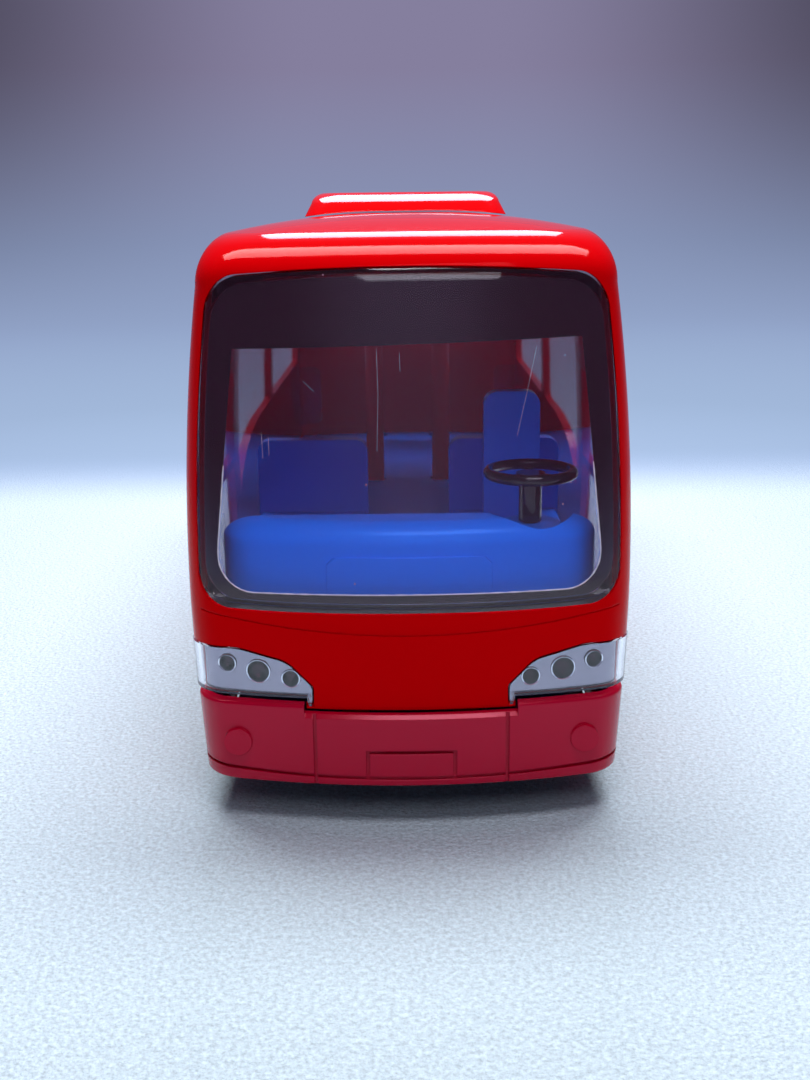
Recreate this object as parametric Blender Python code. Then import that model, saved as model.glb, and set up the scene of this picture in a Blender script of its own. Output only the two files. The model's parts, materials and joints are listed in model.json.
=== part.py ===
"""Toy coach with a see-through cabin and a friction drive, modelled piece by piece.

The bus faces -Y, the driver sits on the +X side and the ground is z = 0. All sizes are in metres.
A distance called "back" is measured from the face of the front bumper towards the rear, and one called
"in" from the body's widest side towards its middle.
"""

import math
from collections import namedtuple

import bmesh
import bpy
from mathutils import Matrix, Vector

# Air between pieces that touch, and radial running clearance of shafts, which is 0.1 mm at most
GAP = 0.0003
SHAFT_CLEARANCE = 0.00008

# Body moulding
BODY_LENGTH = 0.236
BODY_WIDTH = 0.0796
WALL = 0.002
SKIRT_Z = 0.009
WAIST_Z = 0.052
SHOULDER_Z = 0.0940
ROOF_EDGE_Z = 0.1030
ROOF_CAMBER = 0.0030
LOWER_TUCK = 0.0016
UPPER_TUCK = 0.0023
SHOULDER_INSET = 0.0042
FOREHEAD_INSET = 0.0120
TAIL_INSET = 0.008
CROWN_SETBACK = 0.030
RIDGE_HALF = 0.006
CORNER_RADIUS = 0.0055
CROWN_ROUNDING = 0.0060
FRONT_BOW = 0.0056
REAR_BOW = 0.004
FASCIA_SETBACK = 0.0022
TAIL_SETBACK = 0.0015
SCREEN_RAKE = 0.0110
TAIL_RAKE = 0.0050
RAKE_CURVE = 1.3

# Windscreen
SCREEN_FOOT_Z = 0.0391
SCREEN_TOP_Z = 0.0975
SCREEN_ARCH = 0.0016
SCREEN_FOOT_RISE = 0.0006
SCREEN_CORNER = 0.0058
SCREEN_EDGE = 0.0026
SCREEN_REACH = 0.0120
GLASS_THICKNESS = 0.0012
GLASS_RIM = 0.0013
SCREEN_TAB_X = 0.0190
SCREEN_TAB_WIDTH = 0.0070
SCREEN_TAB_HOOK = 0.0014
GLASS_PROUD = 0.00015

# Side and rear windows
WINDOW_TOP_Z = 0.0860
WINDOW_CORNER = 0.0025
DOOR_GLASS_BACK = 0.0200
DOOR_GLASS_FOOT_Z = 0.0350
DOOR_GLASS_TOP_Z = 0.0745
DOOR_GLASS_END = 0.0580
DOOR_GLASS_LEAN = 0.0070
CROSSBAR_Z = 0.0555
CROSSBAR_HEIGHT = 0.0018
FIRST_WINDOW_BACK = 0.0660
FIRST_WINDOW_FOOT_Z = 0.0450
BELT_Z = 0.0575
BELT_SWEEP = 0.0450
MIDDLE_POST_BACK = 0.1330
MIDDLE_POST_WIDTH = 0.0050
REAR_PILLAR = 0.0190
SIDE_GLASS_OVERLAP = 0.0018
REAR_WINDOW_IN = 0.0128
REAR_WINDOW_FOOT_Z = 0.0660
REAR_WINDOW_CORNER = 0.0040

# Lamps
LAMP_TIP_IN = 0.0227
LAMP_TIP_DROP = 0.0022
LAMP_TIP_RADIUS = 0.0016
LAMP_TOP_Z = 0.0324
LAMP_FOOT_Z = 0.0232
LAMP_HOOK_IN = 0.0215
LAMP_HOOK_Z = 0.0217
LAMP_HOOK_LEAN = 0.0004
LAMP_WRAP = 0.0155
LAMP_SHOULDER_IN = 0.0180
LAMP_SHOULDER_Z = 0.0303
LAMP_SHOULDER_RADIUS = 0.0060
LAMP_BROW_IN = 0.00935
LAMP_BROW_RADIUS = 0.0100
LENS_THICKNESS = 0.0010
REFLECTOR_DEPTH = 0.0028
REFLECTOR_IN = 0.0032
CUP_DEPTH = 0.001736
TAIL_LAMP_IN = 0.0098
TAIL_LAMP_CORNER = 0.0025
TAIL_LAMP_FOOT_Z = 0.0340
TAIL_LAMP_TOP_Z = 0.0540
TAIL_LAMP_WRAP = 0.0120

# Each cup's distance in, height and radius
LAMP_CUPS = ((0.0186, 0.0267, 0.00145), (0.0128, 0.0278, 0.00195), (0.0072, 0.0290, 0.00140))

# Bumpers
BUMPER_FOOT_Z = 0.0078
BUMPER_CENTRE_Z = 0.0212
BUMPER_CORNER_Z = 0.0229
BUMPER_STEP_IN = 0.0210
BUMPER_REACH = 0.0260
BUMPER_WALL = 0.0018
BUMPER_SIDE_STEP = 0.0005
BUMPER_EDGE = 0.0006
PANEL_LINE_IN = 0.0228
PANEL_LINE = 0.0006
LIP_Z = 0.0094
LIP_RISE = 0.0014
PLATE_HALF = 0.0080
PLATE_TOP_Z = 0.0146
FOG_DISC_IN = 0.0089
FOG_DISC_Z = 0.0154
FOG_DISC_RADIUS = 0.0025
FOG_DISC_PROUD = 0.0005

# Relief on the body
GROOVE_WIDTH = 0.0006
GROOVE_DEPTH = 0.0005
DOOR_FRONT_BACK = 0.0175
DOOR_REAR_BACK = 0.0590
DOOR_FOOT_Z = 0.0125
LOCKER_TOP_Z = 0.0330
LOCKER_COUNT = 3
LOCKER_MARGIN = 0.0030
LOCKER_FOOT_RISE = 0.0015
LOUVRE_COUNT = 5
LOUVRE_HALF = 0.0200
LOUVRE_HEIGHT = 0.0014
LOUVRE_PITCH = 0.0032
LOUVRE_FOOT_Z = 0.0300
SEAM_DROP = 0.0038
SEAM_RISE = 0.0036

# Roof unit
POD_HALF_WIDTH = 0.0226
POD_LENGTH = 0.066
POD_BACK = 0.066
POD_HEIGHT = 0.0043
POD_TAPER = 0.0046
POD_CORNER = 0.0050
POD_SLOT_COUNT = 7
POD_SLOT_PITCH = 0.0030
POD_SLOT_HALF = 0.01017

# Chassis
CHASSIS_FOOT_Z = 0.0080
CHASSIS_THICKNESS = 0.0018
WHEEL_WELL_AIR = 0.0030
WHEEL_WELL_LENGTH = 0.0320
AXLE_LUG_EDGE = 0.0022
AXLE_LUG_WIDTH = 0.0030
AXLE_LUG_LENGTH = 0.0070
RIB_X = 0.0155
RIB_HEIGHT = 0.0014
RIB_WIDTH = 0.0012

# Wheels
FRONT_AXLE_BACK = 0.0720
REAR_OVERHANG = 0.0580
TYRE_RADIUS = 0.0130
TYRE_WIDTH = 0.0090
TYRE_IN = 0.0036
RIM_RADIUS = 0.0084
TREAD_GROOVE = 0.0006
SIDEWALL_ROUND = 0.0012
RIM_SETBACK = 0.0008
RIM_LIP = 0.0010
HUB_STEP = 0.0005
HUB_BOSS_RADIUS = 0.0025
HUB_DISH = 0.0022
HUB_DISH_FOOT_RADIUS = 0.00325
HUB_CAP_SETBACK = 0.0006
HUB_CAP = 0.0010
AXLE_END_SETBACK = 0.0020
AXLE_RADIUS = 0.00125
ARCH_CLEARANCE = 0.0020

# Screws and the posts that they bite into
POST_RADIUS = 0.0025
PILOT_RADIUS = 0.0010
PILOT_DEPTH = 0.0075
SCREW_RADIUS = 0.0007
SCREW_LENGTH = 0.0080
SCREW_HEAD_RADIUS = 0.0018
SCREW_HEAD_HEIGHT = 0.0010
SCREW_SLOT_WIDTH = 0.0005
SCREW_BOSS_RADIUS = 0.0036
SCREW_BOSS_HEIGHT = 0.0030
END_POST_X = 0.0100
END_POST_BACK = 0.0085
POST_WEB_HEIGHT = 0.0040
POST_WEB_WIDTH = 0.0016
MIDDLE_POST_X = 0.0095
MIDDLE_POST_AHEAD = 0.0148

# Cabin moulding
FLOOR_Z = 0.0288
FLOOR_THICKNESS = 0.0015
FLOOR_INSET = 0.0026
DASH_INSET = 0.0056
DASH_TOP_Z = 0.0532
DASH_ROUND = 0.0040
DASH_CORNER = 0.0060
DASH_BACK = 0.0185
SEAT_BACK = 0.0720
SEAT_HEIGHT = 0.0268
SEAT_THICKNESS = 0.0036
SEAT_CUSHION = 0.0120
SEAT_CUSHION_HEIGHT = 0.0105
SEAT_INNER_X = 0.0091
SEAT_IN = 0.0062
SEAT_CORNER = 0.0028
SEAT_EDGE = 0.0015
DRIVER_SEAT_IN = 0.0190
DRIVER_SEAT_HALF = 0.0056
DRIVER_SEAT_BACK = 0.0450
DRIVER_SEAT_TOP_Z = 0.0714
DRIVER_CUSHION = 0.0096
DRIVER_CUSHION_HEIGHT = 0.01365
CABIN_LEG_RADIUS = 0.0022
CABIN_LEG_IN = 0.0108
CABIN_LEG_ROOM = 0.0080

# Steering wheel
STEERING_IN = 0.0176
STEERING_BACK = 0.0205
STEERING_Z = 0.0602
STEERING_RADIUS = 0.0086
STEERING_RIM = 0.0010
STEERING_COLUMN_RADIUS = 0.0021
STEERING_PEG_RADIUS = 0.0014
STEERING_PEG_DEPTH = 0.0060
STEERING_HUB_RADIUS = 0.002625
STEERING_HUB_HEIGHT = 0.0012
STEERING_DISH_RADIUS = 0.0078
STEERING_DISH_DEPTH = 0.0022
STEERING_BOSS_RADIUS = 0.0055
STEERING_SPOKES = 3
SPOKE_WIDTH = 0.0016
SPOKE_THICKNESS = 0.0009
SPOKE_DROP = 0.00063

# Friction drive
GEAR_MODULE = 0.0005
GEAR_BACKLASH = 0.00012
PRESSURE_ANGLE = math.radians(25)
ADDENDUM = GEAR_MODULE * 0.92
DEDENDUM = GEAR_MODULE * 1.2
AXLE_TEETH = 22
PINION_TEETH = 12
WHEEL_TEETH = 26
FLYWHEEL_TEETH = 12
FIRST_MESH_ANGLE = math.radians(25)
SECOND_MESH_ANGLE = math.radians(-10)
AXLE_GEAR_X = -0.0086
GEAR_WIDTH = 0.0024
GEAR_SPACE = 0.0005
FLYWHEEL_RADIUS = 0.0078
FLYWHEEL_WIDTH = 0.0062
FLYWHEEL_CHAMFER = 0.0006
SHAFT_RADIUS = 0.00075
CASE_HALF_WIDTH = 0.0100
CASE_WALL = 0.0010
CASE_AIR = 0.0006
CASE_CORNER = 0.0030
EAR_LENGTH = 0.0065
EAR_HALF_WIDTH = 0.0045
EAR_THICKNESS = 0.0016
MOTOR_SCREW_LENGTH = 0.0034

# Fineness of the facets
BOW_STEPS = 4
CORNER_STEPS = 4
WALL_STEPS = 4
SHOULDER_STEPS = 4
CAMBER_STEPS = 2
ROUND_SIDES = 18
SMALL_SIDES = 10
COLUMN_SIDES = 16
TYRE_SIDES = 24
FLYWHEEL_SIDES = 28
ARCH_SIDES = 32
FILLET_STEPS = 3
SCREEN_COLUMNS = 6
SCREEN_ROWS = 5
SHARP_ANGLE = math.radians(32)
FLAT_ANGLE = math.radians(0.2)

# How far a cutter runs past what it cuts, and the least radius of a moved-in corner
BEYOND = 0.005
LEAST_CORNER = 0.0015

LEFT, RIGHT = -1, 1
Skin = namedtuple("Skin", "half front rear")

FINISHES = {
    "gloss_red": ((0.72, 0.0, 0.012), 0.18, 0.0),
    "satin_red": ((0.47, 0.0, 0.03), 0.34, 0.0),
    "cabin_blue": ((0.01, 0.13, 0.72), 0.30, 0.0),
    "clear": ((0.86, 0.90, 0.94), 0.05, 0.0),
    "lamp_silver": ((0.74, 0.76, 0.79), 0.22, 0.85),
    "lamp_red": ((0.60, 0.01, 0.01), 0.12, 0.0),
    "black": ((0.012, 0.012, 0.014), 0.35, 0.0),
    "tyre": ((0.018, 0.018, 0.018), 0.75, 0.0),
    "hub": ((0.66, 0.67, 0.70), 0.30, 0.6),
    "steel": ((0.55, 0.55, 0.56), 0.28, 1.0),
    "gear_white": ((0.78, 0.76, 0.70), 0.45, 0.0),
}


def clear_scene():
    for obj in list(bpy.data.objects):
        bpy.data.objects.remove(obj)


def material(name):
    found = bpy.data.materials.get(name)
    if found:
        return found
    colour, roughness, metallic = FINISHES[name]
    made = bpy.data.materials.new(name)
    made.use_nodes = True
    shader = made.node_tree.nodes["Principled BSDF"]
    shader.inputs["Base Color"].default_value = (*colour, 1.0)
    shader.inputs["Roughness"].default_value = roughness
    shader.inputs["Metallic"].default_value = metallic
    return made


def y_at(back):
    """The y of a point this far behind the front bumper's face."""
    return back - BODY_LENGTH / 2


def x_at(distance_in):
    """The x of a point this far in from the body's widest side, on the driver's side."""
    return BODY_WIDTH / 2 - distance_in


# Mesh helpers


def bent(face):
    """Whether a four-cornered face is not flat."""
    corners = [vert.co for vert in face.verts]
    if len(corners) != 4:
        return False
    across = (corners[2] - corners[0]).cross(corners[3] - corners[1])
    return across.length > 0 and abs(across.normalized().dot(corners[1] - corners[0])) > 1e-7


def object_from(name, bm):
    """Turns a bmesh into an object whose faces are flat and point out."""
    bmesh.ops.triangulate(bm, faces=[face for face in bm.faces if bent(face)])
    bmesh.ops.recalc_face_normals(bm, faces=bm.faces)
    mesh = bpy.data.meshes.new(name)
    bm.to_mesh(mesh)
    bm.free()
    obj = bpy.data.objects.new(name, mesh)
    bpy.context.scene.collection.objects.link(obj)
    return obj


def loft(name, rings):
    """A solid through closed rings of equal count, capped at both ends."""
    bm = bmesh.new()
    rows = [[bm.verts.new(point) for point in ring] for ring in rings]
    for lower, upper in zip(rows, rows[1:]):
        for i in range(len(lower)):
            j = (i + 1) % len(lower)
            bm.faces.new((lower[i], lower[j], upper[j], upper[i]))
    bm.faces.new(reversed(rows[0]))
    bm.faces.new(rows[-1])
    return object_from(name, bm)


def cup(name, outer, inner):
    """A wall between two stacks of rings, closed over at the top and open at the bottom."""
    bm = bmesh.new()
    stacks = [[[bm.verts.new(point) for point in ring] for ring in rings] for rings in (outer, inner)]
    for rows in stacks:
        for lower, upper in zip(rows, rows[1:]):
            for i in range(len(lower)):
                j = (i + 1) % len(lower)
                bm.faces.new((lower[i], lower[j], upper[j], upper[i]))
        bm.faces.new(rows[-1])
    outside, inside = stacks[0][0], stacks[1][0]
    for i in range(len(outside)):
        j = (i + 1) % len(outside)
        bm.faces.new((outside[i], outside[j], inside[j], inside[i]))
    return object_from(name, bm)


def prism(name, outline, axis, start, end):
    """Extrudes a flat outline along X, Y or Z. The outline's pairs are the other axes in X, Y, Z order."""
    def place(pair, along):
        first, second = pair
        return {"X": (along, first, second), "Y": (first, along, second), "Z": (first, second, along)}[axis]

    return loft(name, [[place(pair, start) for pair in outline], [place(pair, end) for pair in outline]])


def block(name, low, high):
    outline = ((low[0], low[1]), (high[0], low[1]), (high[0], high[1]), (low[0], high[1]))
    return prism(name, outline, "Z", low[2], high[2])


def circle(centre, radius, sides, turn=0.0):
    angles = (turn + 2 * math.pi * i / sides for i in range(sides))
    return [(centre[0] + radius * math.cos(a), centre[1] + radius * math.sin(a)) for a in angles]


def rod(name, axis, centre, radius, start, end, sides=ROUND_SIDES):
    """A round bar along an axis. The centre's pair is the other two axes in X, Y, Z order."""
    return prism(name, circle(centre, radius, sides), axis, start, end)


def rounded(corners, steps=FILLET_STEPS):
    """A closed outline whose corners, given as (u, v, radius), are rounded by arcs."""
    points = []
    count = len(corners)
    for i, (u, v, radius) in enumerate(corners):
        here = Vector((u, v))
        before = (Vector(corners[i - 1][:2]) - here).normalized()
        after = (Vector(corners[(i + 1) % count][:2]) - here).normalized()
        half_turn = math.acos(max(-1.0, min(1.0, before.dot(after)))) / 2
        if radius <= 0 or half_turn > math.radians(88):
            points.append(tuple(here))
            continue
        run = radius / math.tan(half_turn)
        middle = here + (before + after).normalized() * (radius / math.sin(half_turn))
        first = here + before * run - middle
        last = here + after * run - middle
        sweep = first.angle_signed(last)
        for step in range(steps + 1):
            points.append(tuple(middle + Matrix.Rotation(-sweep * step / steps, 2) @ first))
    return points


def turned(name, profile, axis_point, steps=ROUND_SIDES):
    """A solid of revolution about a line along X. The closed profile's pairs are (x, radius)."""
    bm = bmesh.new()
    rows = []
    for i in range(steps):
        angle = 2 * math.pi * i / steps
        y, z = math.cos(angle), math.sin(angle)
        rows.append([bm.verts.new((x, axis_point[0] + r * y, axis_point[1] + r * z)) for x, r in profile])
    for i in range(steps):
        here, there = rows[i], rows[(i + 1) % steps]
        for j in range(len(profile)):
            k = (j + 1) % len(profile)
            bm.faces.new((here[j], here[k], there[k], there[j]))
    bmesh.ops.remove_doubles(bm, verts=bm.verts, dist=1e-6)
    return object_from(name, bm)


def boolean(target, tool, operation):
    """Cuts, joins or keeps with another solid, which is then removed."""
    modifier = target.modifiers.new(operation, "BOOLEAN")
    modifier.operation = operation
    modifier.solver = "EXACT"
    modifier.object = tool
    graph = bpy.context.evaluated_depsgraph_get()
    result = bpy.data.meshes.new_from_object(target.evaluated_get(graph))
    target.modifiers.clear()
    target.data = result
    bpy.data.objects.remove(tool)
    return target


def cut(target, *tools):
    for tool in tools:
        boolean(target, tool, "DIFFERENCE")
    return target


def join(target, *tools):
    for tool in tools:
        boolean(target, tool, "UNION")
    return target


def keep(target, tool):
    return boolean(target, tool, "INTERSECT")


def finish(obj, finish_name, origin=None):
    """Gives a piece its material, clean faces and shading. A moving piece's origin is on its joint's axis."""
    mesh = obj.data
    bm = bmesh.new()
    bm.from_mesh(mesh)
    bmesh.ops.remove_doubles(bm, verts=bm.verts, dist=2e-6)
    bmesh.ops.dissolve_degenerate(bm, dist=2e-6, edges=bm.edges)
    bmesh.ops.dissolve_limit(bm, angle_limit=FLAT_ANGLE, verts=bm.verts, edges=bm.edges)
    bm.to_mesh(mesh)
    bm.free()
    mesh.materials.clear()
    mesh.materials.append(material(finish_name))
    mesh.polygons.foreach_set("material_index", [0] * len(mesh.polygons))
    mesh.shade_smooth()
    mesh.set_sharp_from_angle(angle=SHARP_ANGLE)
    if origin:
        mesh.transform(Matrix.Translation(origin).inverted())
        obj.location = origin
    return obj


# The body's skin


def half_width(z):
    """Half the body's width at this height: widest at the waist, drawn in above and below."""
    if z < WAIST_Z:
        share, tuck = (WAIST_Z - z) / (WAIST_Z - SKIRT_Z), LOWER_TUCK
    else:
        share, tuck = (z - WAIST_Z) / (SHOULDER_Z - WAIST_Z), UPPER_TUCK
    return BODY_WIDTH / 2 - tuck * share**2


def drawn_in(turn, inset, run):
    """How far the shoulder's arc has drawn in, from 0 to 1. It ends at the roof's slope."""
    slope = 2 * ROOF_CAMBER / run * inset / (ROOF_EDGE_Z - SHOULDER_Z)
    end = slope / (1 - slope)
    return (1 - math.sqrt(1 - turn * turn * (1 - end * end))) / (1 - end)


def skin_at(z):
    """Half width, front and rear of the outer skin at any height up to the roof's edge."""
    turn = min(1.0, max(0.0, (z - SHOULDER_Z) / (ROOF_EDGE_Z - SHOULDER_Z)))
    rise = max(0.0, min(z, SHOULDER_Z) - SCREEN_FOOT_Z) / (SCREEN_TOP_Z - SCREEN_FOOT_Z)
    lean = rise**RAKE_CURVE
    narrow = half_width(SHOULDER_Z) - SHOULDER_INSET - RIDGE_HALF
    half = half_width(min(z, SHOULDER_Z)) - SHOULDER_INSET * drawn_in(turn, SHOULDER_INSET, narrow)
    forehead = FOREHEAD_INSET * drawn_in(turn, FOREHEAD_INSET, CROWN_SETBACK)
    tail = TAIL_INSET * drawn_in(turn, TAIL_INSET, CROWN_SETBACK)
    front = y_at(FASCIA_SETBACK + SCREEN_RAKE * lean + forehead)
    return Skin(half, front, y_at(BODY_LENGTH - TAIL_SETBACK - TAIL_RAKE * lean - tail))


def bowed_end(half, end_y, bow, radius, inward):
    """Points from the middle of a bowed end round its corner to the straight side."""
    flat = half - radius
    points = [(flat * i / BOW_STEPS, 0.0) for i in range(BOW_STEPS + 1)]
    points = [(x, end_y + inward * bow * (x / half) ** 2) for x, _ in points]
    start = Vector(points[-1])
    slope = 2 * bow * flat / half**2
    crossing = Vector((half, start.y + inward * slope * radius))
    finish_at = Vector((half, crossing.y + inward * radius))
    handle = 0.5523
    first = start.lerp(crossing, handle)
    second = finish_at.lerp(crossing, handle)
    for i in range(1, CORNER_STEPS + 1):
        t = i / CORNER_STEPS
        s = 1 - t
        points.append(tuple(start * s**3 + first * 3 * s * s * t + second * 3 * s * t * t + finish_at * t**3))
    return points


def plan_ring(z, half, front, rear, radius):
    """A closed outline at one height: bowed ends, round corners and straight sides."""
    right = bowed_end(half, front, FRONT_BOW, radius, 1)
    right += reversed(bowed_end(half, rear, REAR_BOW, radius, -1))
    left = [(-x, y) for x, y in reversed(right[1:-1])]
    return [(x, y, z) for x, y in right + left]


def end_setback(x, half, bow, radius=CORNER_RADIUS):
    """How far the end's outline lies behind its middle at this x."""
    points = bowed_end(half, 0.0, bow, radius, 1)
    for (x0, y0), (x1, y1) in zip(points, points[1:]):
        if x0 <= abs(x) <= x1:
            return y0 + (y1 - y0) * (abs(x) - x0) / (x1 - x0)
    return points[-1][1]


def body_rings(inset, bottom):
    """The skin's rings from a bottom height to the roof's ridge, moved in by inset all over."""
    rings = []
    lower = [bottom + (SCREEN_FOOT_Z - bottom) * i / 2 for i in range(2)]
    upper = [SCREEN_FOOT_Z + (SHOULDER_Z - SCREEN_FOOT_Z) * i / WALL_STEPS for i in range(WALL_STEPS + 1)]
    for z in lower + upper:
        skin = skin_at(z)
        radius = max(LEAST_CORNER, CORNER_RADIUS - inset)
        rings.append(plan_ring(z, skin.half - inset, skin.front + inset, skin.rear - inset, radius))
    for i in range(1, SHOULDER_STEPS + 1):
        angle = math.pi / 2 * i / SHOULDER_STEPS
        z = SHOULDER_Z + (ROOF_EDGE_Z - SHOULDER_Z) * math.sin(angle)
        skin = skin_at(z)
        level = inset * math.cos(angle)
        radius = CORNER_RADIUS - level + CROWN_ROUNDING * (1 - math.cos(angle))
        half, front, rear = skin.half - level, skin.front + level, skin.rear - level
        rings.append(plan_ring(z - inset * math.sin(angle), half, front, rear, radius))
    edge = skin_at(ROOF_EDGE_Z)
    for i in range(1, CAMBER_STEPS + 1):
        share = i / CAMBER_STEPS
        half = edge.half + (RIDGE_HALF - edge.half) * share
        rise = ROOF_CAMBER * (1 - (1 - share) ** 2)
        setback = CROWN_SETBACK * share
        radius = min(half * 0.9, CORNER_RADIUS + CROWN_ROUNDING)
        front, rear = edge.front + setback, edge.rear - setback
        rings.append(plan_ring(ROOF_EDGE_Z + rise - inset, half, front, rear, radius))
    return rings


def skin_layer(name, outside, inside, bottom=SKIRT_Z):
    """The body's skin between two depths, both measured inwards from the outer surface."""
    return cup(name, body_rings(outside, bottom), body_rings(inside, bottom))


def screen_block(name, margin, height_margin, reach):
    """A block through the front that has the windscreen's outline, moved in by the margins.

    Its columns are spaced closely at the ends, where the outline's corners turn."""
    corner_share = SCREEN_CORNER / (BODY_WIDTH / 2)
    flat = 1 - corner_share
    angles = [math.pi / 2 * i / CORNER_STEPS for i in range(1, CORNER_STEPS + 1)]
    turns = [flat + corner_share * math.sin(angle) for angle in angles]
    level = [flat * (2 * i / SCREEN_COLUMNS - 1) for i in range(SCREEN_COLUMNS + 1)]
    shares = [-share for share in reversed(turns)] + level + turns
    bm = bmesh.new()
    grid = {}
    for column, share in enumerate(shares):
        past = max(0.0, abs(share) - flat) / corner_share
        nip = SCREEN_CORNER * (1 - math.sqrt(max(0.0, 1 - past * past)))
        low = SCREEN_FOOT_Z + height_margin + SCREEN_FOOT_RISE * share**4 + nip
        high = SCREEN_TOP_Z - height_margin - SCREEN_ARCH * share**2 - nip
        for row in range(SCREEN_ROWS + 1):
            z = low + (high - low) * row / SCREEN_ROWS
            skin = skin_at(z)
            x = share * (skin.half - SCREEN_EDGE - margin)
            grid[column, row, 0] = bm.verts.new((x, skin.front - BEYOND, z))
            grid[column, row, 1] = bm.verts.new((x, skin.front + reach, z))
    last = len(shares) - 1
    for column in range(last):
        for row in range(SCREEN_ROWS):
            for side in (0, 1):
                corners = ((column, row), (column + 1, row), (column + 1, row + 1), (column, row + 1))
                bm.faces.new([grid[c, r, side] for c, r in corners])
        for row in (0, SCREEN_ROWS):
            bm.faces.new([grid[column + c, row, s] for c, s in ((0, 0), (1, 0), (1, 1), (0, 1))])
    for column in (0, last):
        for row in range(SCREEN_ROWS):
            bm.faces.new([grid[column, row + r, s] for r, s in ((0, 0), (1, 0), (1, 1), (0, 1))])
    return object_from(name, bm)


# Window and lamp outlines


def door_glass_outline(low, high, margin=0.0):
    """One pane of the tall window beside the driver, as (y, z): its front edge leans with the screen."""
    def front_edge(z):
        share = (z - DOOR_GLASS_FOOT_Z) / (DOOR_GLASS_TOP_Z - DOOR_GLASS_FOOT_Z)
        return y_at(DOOR_GLASS_BACK + DOOR_GLASS_LEAN * share)

    rear_edge = y_at(DOOR_GLASS_END) + margin
    return rounded(
        [
            (front_edge(low) - margin, low - margin, WINDOW_CORNER),
            (rear_edge, low - margin, WINDOW_CORNER),
            (rear_edge, high + margin, WINDOW_CORNER),
            (front_edge(high) - margin, high + margin, WINDOW_CORNER),
        ]
    )


def swept_belt(steps=8):
    """The first saloon window's foot, from its low front corner up to the belt line, as (y, z)."""
    start = y_at(FIRST_WINDOW_BACK)
    points = []
    for i in range(steps + 1):
        angle = math.pi / 2 * i / steps
        y = start + BELT_SWEEP * (1 - math.cos(angle))
        z = FIRST_WINDOW_FOOT_Z + (BELT_Z - FIRST_WINDOW_FOOT_Z) * math.sin(angle)
        points.append((y, z))
    return points


def saloon_outlines():
    """The two long side windows, as (y, z)."""
    top = WINDOW_TOP_Z
    middle = y_at(MIDDLE_POST_BACK)
    first = [(y, z, 0) for y, z in swept_belt()]
    first += [
        (middle, BELT_Z, WINDOW_CORNER),
        (middle, top, WINDOW_CORNER),
        (y_at(FIRST_WINDOW_BACK), top, WINDOW_CORNER),
    ]
    second_start = middle + MIDDLE_POST_WIDTH
    second_end = y_at(BODY_LENGTH - REAR_PILLAR)
    second = [(second_start, BELT_Z), (second_end, BELT_Z), (second_end, top), (second_start, top)]
    return rounded(first), rounded([(y, z, WINDOW_CORNER) for y, z in second])


def lamp_outline(margin, outer_x):
    """A head lamp's leaf outline on the driver's side, as (x, z), moved in by the margin."""
    tip_x, hook_x, shoulder_x = x_at(LAMP_TIP_IN), x_at(LAMP_HOOK_IN), x_at(LAMP_SHOULDER_IN)
    tip_z = (LAMP_FOOT_Z + LAMP_TOP_Z) / 2 - LAMP_TIP_DROP
    brow_x = min((shoulder_x + outer_x) / 2, x_at(LAMP_BROW_IN))
    return rounded(
        [
            (tip_x + margin, tip_z, LAMP_TIP_RADIUS),
            (tip_x + margin + LAMP_HOOK_LEAN / 4, LAMP_HOOK_Z + margin, 0),
            (hook_x - margin, LAMP_HOOK_Z + margin, 0),
            (hook_x - margin + LAMP_HOOK_LEAN, LAMP_FOOT_Z + margin, 0),
            (outer_x, LAMP_FOOT_Z + margin, 0),
            (outer_x, LAMP_TOP_Z - margin, 0),
            (brow_x, LAMP_TOP_Z - margin, LAMP_BROW_RADIUS),
            (shoulder_x, LAMP_SHOULDER_Z - margin, LAMP_SHOULDER_RADIUS),
        ]
    )


def tail_lamp_outline(margin):
    inner_x, outer_x = x_at(TAIL_LAMP_IN) + margin, BODY_WIDTH / 2 + BEYOND
    low, high = TAIL_LAMP_FOOT_Z + margin, TAIL_LAMP_TOP_Z - margin
    corner = TAIL_LAMP_CORNER
    return rounded([(inner_x, low, corner), (outer_x, low, 0), (outer_x, high, 0), (inner_x, high, corner)])


def rear_window_outline(margin):
    low, high = REAR_WINDOW_FOOT_Z - margin, WINDOW_TOP_Z + margin
    half = x_at(REAR_WINDOW_IN) + margin
    corners = ((-half, low), (half, low), (half, high), (-half, high))
    return rounded([(x, z, REAR_WINDOW_CORNER) for x, z in corners])


def mirror_outline(outline):
    return [(-x, z) for x, z in reversed(outline)]


def front_y():
    return y_at(-BEYOND)


def rear_y():
    return y_at(BODY_LENGTH + BEYOND)


# Post and wheel places shared by the shell, cabin, chassis and screws


def rear_axle_back():
    return BODY_LENGTH - REAR_OVERHANG


def axle_backs():
    """How far back each axle is, by its name."""
    return {"front": FRONT_AXLE_BACK, "rear": rear_axle_back()}


def middle_post_back():
    """The screw posts beside the aisle stand ahead of the drive."""
    return motor_window()[1] - y_at(0.0) - MIDDLE_POST_AHEAD


def post_places():
    """Name, x, y and top height of every screw post."""
    end_top = BUMPER_CORNER_Z + GAP + POST_WEB_HEIGHT
    places = []
    for side, word in ((LEFT, "left"), (RIGHT, "right")):
        places.append((f"front_{word}", side * END_POST_X, y_at(END_POST_BACK), end_top))
        places.append((f"middle_{word}", side * MIDDLE_POST_X, y_at(middle_post_back()), None))
        places.append((f"rear_{word}", side * END_POST_X, y_at(BODY_LENGTH - END_POST_BACK), end_top))
    return places


def chassis_top_z():
    return CHASSIS_FOOT_Z + CHASSIS_THICKNESS


def screw_post_foot():
    return CHASSIS_FOOT_Z + SCREW_BOSS_HEIGHT + GAP


def axle_centre(back):
    return (y_at(back), TYRE_RADIUS)


def arch_radius():
    return TYRE_RADIUS + ARCH_CLEARANCE


# Body pieces


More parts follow.
